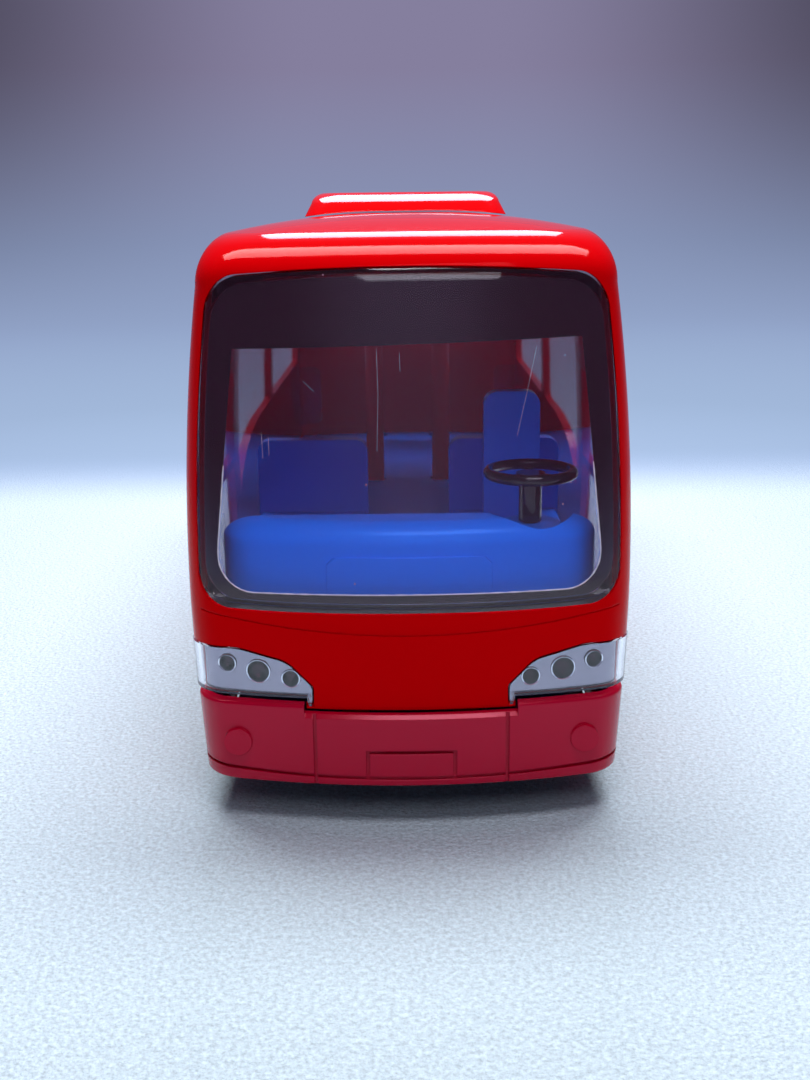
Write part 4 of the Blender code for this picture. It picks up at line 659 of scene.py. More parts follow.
def plan_ring(z, half, front, rear, radius):
    """A closed outline at one height: bowed ends, round corners and straight sides."""
    right = bowed_end(half, front, FRONT_BOW, radius, 1)
    right += reversed(bowed_end(half, rear, REAR_BOW, radius, -1))
    left = [(-x, y) for x, y in reversed(right[1:-1])]
    return [(x, y, z) for x, y in right + left]


def end_setback(x, half, bow):
    """How far the end's outline lies behind its middle at this x."""
    points = bowed_end(half, 0.0, bow, CORNER_RADIUS, 1)
    for (x0, y0), (x1, y1) in zip(points, points[1:]):
        if x0 <= abs(x) <= x1:
            return y0 + (y1 - y0) * (abs(x) - x0) / (x1 - x0)
    return points[-1][1]


def inner_ring(z, skin, inset, radius):
    """The outline of a level of the skin, moved in by inset and drawn at this height."""
    return plan_ring(z, skin.half - inset, skin.front + inset, skin.rear - inset, radius)


def body_rings(inset, bottom):
    """The skin's rings from a bottom height to the roof's ridge, moved in by inset all over."""
    least_radius = 0.0015
    rings = []
    lower = [bottom + (SCREEN_FOOT_Z - bottom) * i / 10 for i in range(10)]
    upper = [SCREEN_FOOT_Z + (SHOULDER_Z - SCREEN_FOOT_Z) * i / WALL_STEPS for i in range(WALL_STEPS + 1)]
    for z in lower + upper:
        rings.append(inner_ring(z, skin_at(z), inset, max(least_radius, CORNER_RADIUS - inset)))
    for i in range(1, SHOULDER_STEPS + 1):
        angle = math.pi / 2 * i / SHOULDER_STEPS
        z = SHOULDER_Z + (ROOF_EDGE_Z - SHOULDER_Z) * math.sin(angle)
        level = inset * math.cos(angle)
        drop = inset * math.sin(angle)
        radius = CORNER_RADIUS - level + CROWN_ROUNDING * (1 - math.cos(angle))
        rings.append(inner_ring(z - drop, skin_at(z), level, radius))
    edge = skin_at(ROOF_EDGE_Z)
    for i in range(1, CAMBER_STEPS + 1):
        share = i / CAMBER_STEPS
        half = edge.half + (RIDGE_HALF - edge.half) * share
        rise = ROOF_CAMBER * (1 - (1 - share) ** 2)
        setback = CROWN_SETBACK * share
        radius = min(half * 0.9, CORNER_RADIUS + CROWN_ROUNDING)
        z = ROOF_EDGE_Z + rise - inset
        rings.append(plan_ring(z, half, edge.front + setback, edge.rear - setback, radius))
    return rings


def skin_layer(name, outside, inside, bottom=SKIRT_Z):
    """The body's skin between two depths, both measured inwards from the outer surface."""
    return cup(name, body_rings(outside, bottom), body_rings(inside, bottom))


def screen_block(margin, reach=SCREEN_REACH):
    """A block through the front that has the windscreen's outline, moved in by the margin."""
    corner_share = SCREEN_CORNER / (BODY_WIDTH / 2)
    flat = 1 - corner_share
    turns = [flat + corner_share * rise for rise, _ in quarter(CORNER_STEPS)[1:]]
    level = [flat * (2 * i / SCREEN_COLUMNS - 1) for i in range(SCREEN_COLUMNS + 1)]
    shares = [-share for share in reversed(turns)] + level + turns
    bm = bmesh.new()
    grid = {}
    for column, share in enumerate(shares):
        past = max(0.0, abs(share) - flat) / corner_share
        nip = SCREEN_CORNER * (1 - math.sqrt(max(0.0, 1 - past * past)))
        low = SCREEN_FOOT_Z + margin + SCREEN_FOOT_RISE * share**4 + nip
        high = SCREEN_TOP_Z - margin - SCREEN_ARCH * share**2 - nip
        for row in range(SCREEN_ROWS + 1):
            z = low + (high - low) * row / SCREEN_ROWS
            skin = skin_at(z)
            x = share * (skin.half - SCREEN_EDGE - margin)
            grid[column, row, 0] = bm.verts.new((x, skin.front - BEYOND, z))
            grid[column, row, 1] = bm.verts.new((x, skin.front + reach, z))
    last = len(shares) - 1
    for column in range(last):
        for row in range(SCREEN_ROWS):
            for side in (0, 1):
                corners = ((column, row), (column + 1, row), (column + 1, row + 1), (column, row + 1))
                bm.faces.new([grid[c, r, side] for c, r in corners])
        for row in (0, SCREEN_ROWS):
            bm.faces.new([grid[column + c, row, s] for c, s in ((0, 0), (1, 0), (1, 1), (0, 1))])
    for column in (0, last):
        for row in range(SCREEN_ROWS):
            bm.faces.new([grid[column, row + r, s] for r, s in ((0, 0), (1, 0), (1, 1), (0, 1))])
    return object_from("screen_outline", bm)


class SkinNormals:
    """The uncut skin's smooth normals, which cut pieces of it borrow so that reflections run on."""

    def __init__(self):
        bm = bmesh.new()
        rows = [[bm.verts.new(point) for point in ring] for ring in body_rings(0.0, SKIRT_Z)]
        bridge(bm, rows)
        bm.faces.new(rows[-1])
        bmesh.ops.triangulate(bm, faces=bm.faces)
        bmesh.ops.recalc_face_normals(bm, faces=bm.faces)
        bm.normal_update()
        middle = Vector((0.0, 0.0, WAIST_Z))
        outward = sum(1 for face in bm.faces if face.normal.dot(face.calc_center_median() - middle) > 0)
        self.sign = 1 if outward > len(bm.faces) / 2 else -1
        self.tree = BVHTree.FromBMesh(bm)
        self.corners = [[vert.co.copy() for vert in face.verts] for face in bm.faces]
        self.normals = [[vert.normal * self.sign for vert in face.verts] for face in bm.faces]
        bm.free()

    def at(self, point):
        """The nearest skin normal, and how far away the skin is."""
        place, _, index, distance = self.tree.find_nearest(point)
        weights = poly_3d_calc(self.corners[index], place)
        normal = sum((n * w for n, w in zip(self.normals[index], weights)), Vector())
        return normal.normalized(), distance

    def lend(self, obj, reach=0.0035, agreement=0.94):
        """Sets the normals of those faces of a piece that run along the skin."""
        mesh = obj.data
        near = [self.at(vert.co) for vert in mesh.vertices]
        given = [Vector(corner.vector) for corner in mesh.corner_normals]
        for face in mesh.polygons:
            for corner in face.loop_indices:
                normal, distance = near[mesh.loops[corner].vertex_index]
                along = normal.dot(face.normal)
                if distance < reach and abs(along) > agreement:
                    given[corner] = normal if along > 0 else -normal
        mesh.normals_split_custom_set(given)


# Window and lamp outlines


def door_glass_outline(low, high):
    """One pane of the tall window beside the driver, as (y, z): its front edge leans with the screen."""
    def front_edge(z):
        share = (z - DOOR_GLASS_FOOT_Z) / (DOOR_GLASS_TOP_Z - DOOR_GLASS_FOOT_Z)
        return y_at(DOOR_GLASS_BACK + DOOR_GLASS_LEAN * share)

    rear_edge = y_at(DOOR_GLASS_END)
    corners = ((front_edge(low), low), (rear_edge, low), (rear_edge, high), (front_edge(high), high))
    return rounded([(y, z, WINDOW_CORNER) for y, z in corners])


def swept_belt():
    """The first saloon window's foot, from its low front corner up to the belt line, as (y, z)."""
    start, climb = y_at(FIRST_WINDOW_BACK), BELT_Z - FIRST_WINDOW_FOOT_Z
    return [(start + BELT_SWEEP * run, FIRST_WINDOW_FOOT_Z + climb * rise) for rise, run in quarter(24)]


def saloon_outlines():
    """The two long side windows, as (y, z)."""
    top = WINDOW_TOP_Z
    middle = y_at(MIDDLE_POST_BACK)
    first = [(y, z, 0) for y, z in swept_belt()]
    first += [
        (middle, BELT_Z, WINDOW_CORNER),
        (middle, top, WINDOW_CORNER),
        (y_at(FIRST_WINDOW_BACK), top, WINDOW_CORNER),
    ]
    second_start = middle + MIDDLE_POST_WIDTH
    second_end = y_at(BODY_LENGTH - REAR_PILLAR)
    second = box_outline((second_start, BELT_Z), (second_end, top), WINDOW_CORNER, WINDOW_CORNER)
    return rounded(first), second


def lamp_outline(margin, outer_x):
    """A head lamp's leaf outline on the driver's side, as (x, z), moved in by the margin."""
    tip_z = (LAMP_FOOT_Z + LAMP_TOP_Z) / 2 - LAMP_TIP_DROP
    mean_x = (LAMP_SHOULDER_X + outer_x) / 2
    return rounded(
        [
            (LAMP_TIP_X + margin, tip_z, LAMP_TIP_ROUND),
            (LAMP_TIP_X + margin + LAMP_TIP_LEAN, LAMP_HOOK_Z + margin, 0),
            (LAMP_HOOK_X - margin, LAMP_HOOK_Z + margin, 0),
            (LAMP_HOOK_X - margin + LAMP_HOOK_LEAN, LAMP_FOOT_Z + margin, 0),
            (outer_x, LAMP_FOOT_Z + margin, 0),
            (outer_x, LAMP_TOP_Z - margin, 0),
            (min(mean_x, BODY_WIDTH / 2 - CORNER_RADIUS * 1.7), LAMP_TOP_Z - margin, LAMP_TOP_ROUND),
            (LAMP_SHOULDER_X, LAMP_SHOULDER_Z - margin, LAMP_SHOULDER_ROUND),
        ]
    )


def tail_lamp_outline(margin):
    inner_x, outer_x = TAIL_LAMP_X + margin, BODY_WIDTH / 2 + BEYOND
    low, high = TAIL_LAMP_FOOT_Z + margin, TAIL_LAMP_TOP_Z - margin
    corner = TAIL_LAMP_CORNER
    return rounded([(inner_x, low, corner), (outer_x, low, 0), (outer_x, high, 0), (inner_x, high, corner)])


def rear_window_outline(margin):
    half = REAR_WINDOW_HALF + margin
    low, high = (-half, REAR_WINDOW_FOOT_Z - margin), (half, WINDOW_TOP_Z + margin)
    return box_outline(low, high, REAR_WINDOW_CORNER, REAR_WINDOW_CORNER)


def print_outline(margin=0.0):
    """The clear field inside the windscreen's black print, as (x, z). Its top edge slopes a little."""
    left_top, right_top = PRINT_TOP_Z
    foot, top = PRINT_FOOT_HALF - margin, PRINT_TOP_HALF - margin
    return rounded(
        [
            (-foot, PRINT_FOOT_Z + margin, PRINT_CORNER),
            (foot, PRINT_FOOT_Z + margin, PRINT_CORNER),
            (top, right_top - margin, PRINT_TOP_CORNER),
            (-top, left_top - margin, PRINT_TOP_CORNER),
        ]
    )


def on_side(outline, side):
    return [(-x, z) for x, z in reversed(outline)] if side == LEFT else outline


def band(reach, height, half):
    """A thin outline across the body whose middle line has this height at each x, as (x, z)."""
    stations = [reach * i / BAND_STEPS for i in range(-BAND_STEPS, BAND_STEPS + 1)]
    return [(x, height(x) - half) for x in stations] + [(x, height(x) + half) for x in reversed(stations)]


# Just past the body's front and rear
AHEAD, BEHIND = y_at(-BEYOND), y_at(BODY_LENGTH + BEYOND)


def axle_centre(back):
    return (y_at(back), TYRE_RADIUS)


def post_places():
    """x, y and top height of every screw post."""
    end_top = BUMPER_CORNER_Z + GAP + POST_WEB_HEIGHT
    places = []
    for side in (LEFT, RIGHT):
        places.append((side * END_POST_X, y_at(END_POST_BACK), end_top))
        places.append((side * MIDDLE_POST_X, y_at(MIDDLE_POST_PLACE), None))
        places.append((side * END_POST_X, y_at(BODY_LENGTH - END_POST_BACK), end_top))
    return places


# Materials


def wire(tree, node, **inputs):
    """Sets or links a node's inputs, by name or by their number after an underscore."""
    for name, value in inputs.items():
        socket = node.inputs[int(name[1:]) if name[1:].isdigit() else name.replace("_", " ")]
        if isinstance(value, bpy.types.NodeSocket):
            tree.links.new(value, socket)
        else:
            socket.default_value = value
    return node


def link(tree, kind, settings=None, **inputs):
    """Adds a node with its settings, and sets or links its inputs."""
    node = tree.nodes.new(kind)
    for name, value in (settings or {}).items():
        setattr(node, name, value)
    return wire(tree, node, **inputs)


def combine(tree, operation, *values):
    """What a Math node makes of values or sockets."""
    inputs = {f"_{i}": value for i, value in enumerate(values)}
    return link(tree, "ShaderNodeMath", {"operation": operation}, **inputs).outputs[0]


def ranged(tree, value, low=0.0, high=1.0, to_low=0.0, to_high=1.0, kind="LINEAR"):
    """A value taken from one range to another."""
    return link(
        tree, "ShaderNodeMapRange", {"interpolation_type": kind}, Value=value,
        From_Min=low, From_Max=high, To_Min=to_low, To_Max=to_high,
    ).outputs["Result"]


def blended(tree, share, first, second, how="MIX"):
    """Two colours laid together by a share."""
    settings = {"data_type": "RGBA", "blend_type": how}
    return link(tree, "ShaderNodeMix", settings, Factor=share, _6=first, _7=second).outputs[2]


def noise(tree, place, scale, detail, **inputs):
    return link(tree, "ShaderNodeTexNoise", Vector=place, Scale=scale, Detail=detail, **inputs).outputs["Fac"]


def show(tree, share, first, second):
    """Makes a mix of two shaders the surface."""
    mixed = link(tree, "ShaderNodeMixShader", _0=share, _1=first, _2=second)
    wire(tree, tree.nodes["Material Output"], Surface=mixed.outputs[0])


def rgba(colour):
    return (*colour[:3], 1.0)


def new_material(name):
    """A new material, its tree, its shader and the place on the object."""
    made = bpy.data.materials.new(name)
    made.use_nodes = True
    tree = made.node_tree
    return made, tree, tree.nodes["Principled BSDF"], link(tree, "ShaderNodeTexCoord").outputs["Object"]


def moulded(
    name, colour, roughness, grain, depth, shift=0.12, metallic=0.0, ior=1.5, edge=0.0, gloss=0.5, tint=None
):
    """A moulded or metal surface: faint clouds in its colour, worn gloss and a fine grain in its relief.

    The grain is the width in metres of one cell of the relief, and the depth is its height."""
    made, tree, shader, place = new_material(name)
    dark = rgba(tuple(c * (1 - shift) for c in colour))
    wear = noise(tree, place, 160.0, 6.0)
    relief = noise(tree, place, 1.0 / grain, 2.0)
    bump = link(tree, "ShaderNodeBump", Strength=1.0, Distance=depth, Height=relief)
    if edge > 0:
        rounding = link(tree, "ShaderNodeBevel", {"samples": 4}, Radius=edge)
        wire(tree, bump, Normal=rounding.outputs["Normal"])
    wire(
        tree, shader, IOR=ior, Metallic=metallic, Specular_IOR_Level=gloss, Normal=bump.outputs["Normal"],
        Base_Color=blended(tree, noise(tree, place, 45.0, 4.0), dark, rgba(colour)),
        Roughness=ranged(tree, wear, to_low=roughness * 0.8, to_high=roughness * 1.25),
    )
    if tint:
        wire(tree, shader, Specular_Tint=rgba(tint))
    return made


def clear_moulding(name, colour, dust=0.0, haze=0.0, gloss=0.5):
    """Clear polystyrene, polished in the mould. Lamps light what is behind it, and handling leaves a film."""
    made, tree, glass, place = new_material(name)
    wire(
        tree, glass, Base_Color=rgba(colour), Roughness=0.03, IOR=1.49, Transmission_Weight=1.0,
        Specular_IOR_Level=gloss,
    )
    surface = glass.outputs["BSDF"]
    if dust > 0:
        cells = link(tree, "ShaderNodeTexVoronoi", Vector=place, Scale=230.0, Randomness=1.0)
        speck = ranged(tree, cells.outputs["Distance"], 0.05, 0.02)
        some = ranged(tree, noise(tree, place, 900.0, 1.0), 0.54, 0.62, to_high=dust)
        specks = combine(tree, "MULTIPLY", speck, some)
        marks = combine(tree, "MAXIMUM", specks, haze)
        tint = blended(tree, specks, rgba(linear("#FF78C4")), rgba(linear("#ECECF2")))
        film = link(tree, "ShaderNodeBsdfPrincipled", Base_Color=tint, Roughness=0.5, Specular_IOR_Level=0.0)
        surface = link(tree, "ShaderNodeMixShader", _0=marks, _1=surface, _2=film.outputs["BSDF"]).outputs[0]
    through = link(tree, "ShaderNodeBsdfTransparent", Color=rgba(colour))
    lamp_ray = link(tree, "ShaderNodeLightPath").outputs["Is Shadow Ray"]
    show(tree, lamp_ray, surface, through.outputs["BSDF"])
    return made


def foam_and_cloth(name, foam, near, far, cell):
    """Closed-cell foam sheet with a bright, cloudy grain, that runs back into blue-grey cloth, painted darker
    with height and towards the top corners as shade.
    """
    made, tree, shader, place = new_material(name)
    cells = link(tree, "ShaderNodeTexVoronoi", Vector=place, Scale=1.0 / cell, Randomness=1.0)
    clouds = noise(tree, place, 0.8 / cell, 5.0, Roughness=0.75)
    sheet = blended(tree, 1.0, rgba(foam), ranged(tree, clouds, 0.36, 0.62, 0.70, 1.06), "MULTIPLY")
    axes = link(tree, "ShaderNodeSeparateXYZ", Vector=place).outputs
    flat = link(tree, "ShaderNodeVectorMath", {"operation": "MULTIPLY"}, _0=place, _1=(1.0, 1.0, 0.0))
    reach = link(tree, "ShaderNodeVectorMath", {"operation": "LENGTH"}, _0=flat.outputs[0]).outputs["Value"]
    depth = combine(tree, "MULTIPLY_ADD", reach, 0.5, combine(tree, "MULTIPLY", axes["Z"], 1.2))
    # The cloth darkens with distance and height: painted shade
    ramp = link(tree, "ShaderNodeValToRGB", Fac=depth)
    middle = linear("#8895B8")
    stops = ((0.08, near), (0.20, linear("#A2B8DA")), (0.42, linear("#94A6CA")), (0.66, middle), (1.0, far))
    bands = ramp.color_ramp.elements
    while len(bands) < len(stops):
        bands.new(0.5)
    for band, (spot, colour) in zip(bands, stops):
        band.position = spot
        band.color = rgba(colour)
    smooth = "SMOOTHSTEP"
    # Towards the top corners the cloth is darkened further, towards black: painted shade
    wide = ranged(tree, combine(tree, "ABSOLUTE", axes["X"]), 0.10, 0.62, kind=smooth)
    tall = ranged(tree, depth, 0.35, 1.1, to_high=0.72, kind=smooth)
    painted_corner_shade = combine(tree, "MULTIPLY", wide, tall)
    cloth = blended(tree, painted_corner_shade, ramp.outputs["Color"], (0.0, 0.0, 0.0, 1.0))
    behind = ranged(tree, axes["Y"], 0.13, 0.24, kind=smooth)
    away = combine(tree, "MAXIMUM", behind, ranged(tree, reach, 0.45, 0.80, kind=smooth))
    rise = combine(tree, "SUBTRACT", clouds, cells.outputs["Distance"])
    bump = link(tree, "ShaderNodeBump", Strength=1.0, Distance=cell * 0.45, Height=rise)
    tint = blended(tree, away, sheet, cloth)
    wire(tree, shader, Base_Color=tint, Normal=bump.outputs["Normal"], Roughness=0.5)
    # Seen directly, in gloss and through glass the cloth keeps its own level, whatever the lamps give it
    ray = link(tree, "ShaderNodeLightPath").outputs
    seen = combine(tree, "MAXIMUM", ray["Is Camera Ray"], ray["Is Glossy Ray"])
    seen = combine(tree, "MAXIMUM", seen, ray["Is Transmission Ray"])
    level = link(tree, "ShaderNodeEmission", Color=cloth, Strength=1.0)
    show(tree, combine(tree, "MULTIPLY", seen, away), shader.outputs["BSDF"], level.outputs["Emission"])
    return made


def palette():
    """The finishes by the name that pieces ask for. Each material is made once."""
    colours = bpy.context.scene.coach_colours
    edge = bpy.context.scene.coach_sizes.edge
    finishes = {}

    def add(finish_name, make, title, *values, **options):
        finishes[finish_name] = bpy.data.materials.get(title) or make(title, *values, **options)

    # Polished ABS straight from the tool: deep red, a mirror gloss with faint waves
    add("gloss_red", moulded, "polished red ABS", colours.body, 0.06, 0.004, 0.000003, 0.05,
        ior=1.53, edge=edge, gloss=0.08, tint=linear("#FF2030"))
    # Satin ABS from a lightly etched tool: crimson with soft, wide highlights
    add("satin_red", moulded, "satin crimson ABS", colours.bumper, 0.19, 0.0009, 0.000003, 0.08,
        edge=edge, gloss=0.60, tint=linear("#FF98B0"))
    # Polypropylene, soft gloss: bright blue with a wide sheen on its rounds
    add("cabin_blue", moulded, "blue polypropylene", colours.cabin, 0.24, 0.002, 0.000003, 0.06,
        ior=1.49, edge=edge, tint=linear("#58A8FF"))
    # Screen print on the inside of the windscreen: flat black under gloss
    add("print", moulded, "black screen print", colours.border, 0.35, 0.001, 0.000001, 0.2, gloss=0.1)
    # Vacuum-metallised polystyrene: bright grey mirror
    add("lamp_silver", moulded, "metallised polystyrene", colours.silver, 0.07, 0.0030, 0.000060, 0.25, 1.0)
    # The same metal on the cups' rims, made brighter than the trays: a painted highlight
    add("rim", moulded, "bright metallised polystyrene", linear("#F2F4F8"), 0.10, 0.0010, 0.000004, 0.05, 1.0)
    # The same metal deep in the lamp cups, painted dark maroon: painted shade and a painted reflection of the
    # red body
    add("bowl", moulded, "stained metallised polystyrene", linear("#4E2E3A"), 0.12, 0.0007, 0.000008, 0.5,
        metallic=1.0)
    # Clear red acrylic over a dark back: deep and glossy
    add("lamp_red", moulded, "red lamp acrylic", colours.tail, 0.08, 0.003, 0.000003, 0.2)
    # Synthetic rubber: matt black with a fine bloom
    add("tyre", moulded, "synthetic rubber", colours.rubber, 0.72, 0.0006, 0.00002, 0.3)
    # Black ABS with a fine spark-eroded grain
    add("black", moulded, "grained black ABS", colours.black, 0.42, 0.0005, 0.00002, 0.2)
    # Black ABS, polished: the steering wheel
    add("gloss_black", moulded, "polished black ABS", colours.black, 0.08, 0.003, 0.000002, 0.2)
    # Sprayed silver lacquer on plastic
    add("hub", moulded, "silver lacquer", colours.hub, 0.28, 0.0004, 0.000004, 0.1, 0.85)
    # Drawn and zinc-plated steel
    add("steel", moulded, "zinc-plated steel", colours.steel, 0.26, 0.0006, 0.000004, 0.2, 1.0)
    # Acetal, natural: waxy off-white
    add("gear_white", moulded, "natural acetal", colours.gear, 0.42, 0.0012, 0.000006, 0.06)
    # Clear polystyrene, as it leaves the mould
    add("clear", clear_moulding, "clear polystyrene", colours.glass)
    # The same polystyrene after handling: a few pale specks of dust and a thin pinkish haze
    add("screen", clear_moulding, "handled clear polystyrene", colours.glass, 0.7, 0.014, gloss=0.05)
    # The same polystyrene, milky white: for the scratches, and for a painted highlight line where the print's
    # edge catches the light
    add("bead", moulded, "milky polystyrene edge", linear("#E9EAF4"), 0.2, 0.001, 0.000002, 0.02)
    return finishes


def finished(obj, finish_name, body, *nodes, slot=None, skin=None):
    """Shades a piece, gives it its finish, hangs it on its body's empty and hides the frame parts that it
    stands for.
    """
    mesh = obj.data
    bm = bmesh.new()
    bm.from_mesh(mesh)
    bmesh.ops.remove_doubles(bm, verts=bm.verts, dist=MERGE)
    bm.to_mesh(mesh)
    bm.free()
    mesh.materials.clear()
    mesh.materials.append(palette()[finish_name])
    mesh.polygons.foreach_set("material_index", [0] * len(mesh.polygons))
    mesh.shade_smooth()
    mesh.set_sharp_from_angle(angle=SHARP_ANGLE)
    if skin:
        skin.lend(obj)
    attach(obj, body)
    if nodes:
        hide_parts(*nodes)
    slot or finish_name
    return obj


@cache
def skin_normals():
    return SkinNormals()


# Repeats made with Geometry Nodes


def repeat_tree():
    """A node tree that sets copies of a piece out in a row or round a centre."""
    tree = bpy.data.node_groups.get("set out copies")
    if tree:
        return tree
    tree = bpy.data.node_groups.new("set out copies", "GeometryNodeTree")
    sockets = (
        ("Geometry", "Geometry"), ("Count", "Int"), ("Start", "Vector"), ("Step", "Vector"),
        ("Turn", "Vector"), ("Material", "Material"),
    )
    for name, kind in sockets:
        tree.interface.new_socket(name, in_out="INPUT", socket_type=f"NodeSocket{kind}")
    tree.interface.new_socket("Geometry", in_out="OUTPUT", socket_type="NodeSocketGeometry")
    source = link(tree, "NodeGroupInput").outputs
    index = link(tree, "GeometryNodeInputIndex").outputs["Index"]
    along = link(tree, "ShaderNodeVectorMath", {"operation": "SCALE"}, _0=source["Step"], Scale=index)
    place = link(tree, "ShaderNodeVectorMath", {"operation": "ADD"}, _0=source["Start"], _1=along.outputs[0])
    turn = link(tree, "ShaderNodeVectorMath", {"operation": "SCALE"}, _0=source["Turn"], Scale=index)
    points = link(tree, "GeometryNodePoints", Count=source["Count"], Position=place.outputs[0])
    copies = link(
        tree, "GeometryNodeInstanceOnPoints", Points=points.outputs[0], Instance=source["Geometry"],
        Rotation=turn.outputs[0],
    )
    real = link(tree, "GeometryNodeRealizeInstances", Geometry=copies.outputs[0])
    dressed = link(tree, "GeometryNodeSetMaterial", Geometry=real.outputs[0], Material=source["Material"])
    link(tree, "NodeGroupOutput", Geometry=dressed.outputs[0])
    return tree


def repeated(obj, finish_name, count, start, step=(0, 0, 0), turn=(0, 0, 0)):
    """Copies a piece by the node tree and makes the result its mesh."""
    tree = repeat_tree()
    modifier = obj.modifiers.new("copies", "NODES")
    modifier.node_group = tree
    values = {"Count": count, "Start": start, "Step": step, "Turn": turn, "Material": palette()[finish_name]}
    for socket in tree.interface.items_tree:
        if socket.item_type == "SOCKET" and socket.in_out == "INPUT" and socket.name in values:
            modifier[socket.identifier] = values[socket.name]
    return applied(obj)


# Body pieces


def fitted_cutter(name, outline, depth, start=AHEAD, end=0.0):
    """A cutter that follows the skin: everything inside the outline down to a depth under the surface."""
    layer = skin_layer(name, -BEYOND / 2, depth)
    return keep(layer, prism("outline", outline, "Y", start, end))


def seam_outline():
    """A thin band that sags below the windscreen, as (x, z)."""
    reach = BODY_WIDTH / 2 - CORNER_RADIUS * 0.5
    foot = SCREEN_FOOT_Z - SEAM_DROP
    return band(reach, lambda x: foot + SEAM_RISE * (x / reach) ** 2, SEAM_HEIGHT / 2)


def side_groove_upright(y, low, high, side):
    """A cutter for an upright panel line in a side wall. It follows the wall's barrel shape."""
    steps = 12
    heights = [low + (high - low) * i / steps for i in range(steps + 1)]
    inner = [(side * (half_width(z) - GROOVE_DEPTH), z) for z in heights]
    outer = [(side * (half_width(z) + BEYOND), z) for z in reversed(heights)]
    return prism("groove", inner + outer, "Y", y - GROOVE_WIDTH / 2, y + GROOVE_WIDTH / 2)


def side_groove_level(z, start, end, side):
    low, high = z - GROOVE_WIDTH / 2, z + GROOVE_WIDTH / 2
    inner, outer = half_width(z) - GROOVE_DEPTH, half_width(z) + BEYOND
    first, last = sorted((side * inner, side * outer))
    return block("groove", (first, start, low), (last, end, high))


def panel_line_cutters():
    """The passenger door's outline on one side and the locker flaps between the arches on both."""
    door_front, door_rear = y_at(DOOR_FRONT_BACK), y_at(DOOR_REAR_BACK)
    below_glass = DOOR_GLASS_FOOT_Z - GROOVE_WIDTH * 2
    tools = [
        side_groove_upright(door_front, DOOR_FOOT_Z, below_glass, LEFT),
        side_groove_upright(door_rear, DOOR_FOOT_Z, below_glass, LEFT),
        side_groove_level(DOOR_FOOT_Z, door_front, door_rear, LEFT),
    ]
    arch = TYRE_RADIUS + ARCH_CLEARANCE
    first = y_at(FRONT_AXLE_BACK) + arch + LOCKER_MARGIN
    last = y_at(REAR_AXLE_BACK) - arch - LOCKER_MARGIN
    for side in (LEFT, RIGHT):
        tools.append(side_groove_level(LOCKER_TOP_Z, first, last, side))
        for i in range(LOCKER_COUNT + 1):
            y = first + (last - first) * i / LOCKER_COUNT
            tools.append(side_groove_upright(y, LOCKER_FOOT_Z, LOCKER_TOP_Z, side))
    return tools


def bumper_shadow():
    """What the front bumper takes from the shell, as (x, z)."""
    wide = BODY_WIDTH
    corner, centre, step = BUMPER_CORNER_Z + GAP, BUMPER_CENTRE_Z + GAP, BUMPER_STEP_X - GAP
    half = [(wide, 0), (wide, corner), (step, corner), (step, centre)]
    return half + [(-x, z) for x, z in reversed(half)]


def post_web(x, y, top):
    """The rib that ties an end post to the end wall of the shell, above the bumper."""
    low = top - POST_WEB_HEIGHT
    skin = skin_at((low + top) / 2)
    bow = end_setback(x, skin.half, FRONT_BOW if y < 0 else REAR_BOW)
    wall = skin.front + bow + WALL / 2 if y < 0 else skin.rear - bow - WALL / 2
    near, far = sorted((wall, y))
    return block("web", (x - POST_WEB_WIDTH / 2, near, low), (x + POST_WEB_WIDTH / 2, far, top))


def shell_cutters():
    """Everything that opens the shell: screen, bumpers, arches, windows and lamps."""
    reach = BODY_WIDTH
    crossbar = CROSSBAR_HEIGHT / 2
    rear_low = BUMPER_CORNER_Z + GAP
    rear_shadow = [(-reach, 0), (reach, 0), (reach, rear_low), (-reach, rear_low)]
    tools = [
        screen_block(0.0),
        prism("front", bumper_shadow(), "Y", AHEAD, y_at(BUMPER_REACH + GAP)),
        prism("rear", rear_shadow, "Y", y_at(BODY_LENGTH - BUMPER_REACH - GAP), BEHIND),
        prism("rear_window", rear_window_outline(0.0), "Y", 0.0, BEHIND),
    ]
    for back in (FRONT_AXLE_BACK, REAR_AXLE_BACK):
        tools.append(rod("arch", "X", axle_centre(back), TYRE_RADIUS + ARCH_CLEARANCE, -reach, reach, 96))
    panes = [
        door_glass_outline(DOOR_GLASS_FOOT_Z, CROSSBAR_Z - crossbar),
        door_glass_outline(CROSSBAR_Z + crossbar, DOOR_GLASS_TOP_Z),
        *saloon_outlines(),
    ]
    tools += [prism("window", outline, "X", -reach, reach) for outline in panes]
    for side in (LEFT, RIGHT):
        tools.append(prism("lamp", on_side(lamp_outline(0.0, reach), side), "Y", AHEAD, y_at(LAMP_WRAP)))
        tail = on_side(tail_lamp_outline(0.0), side)
        tools.append(prism("tail_lamp", tail, "Y", y_at(BODY_LENGTH - TAIL_LAMP_WRAP), BEHIND))
    return tools


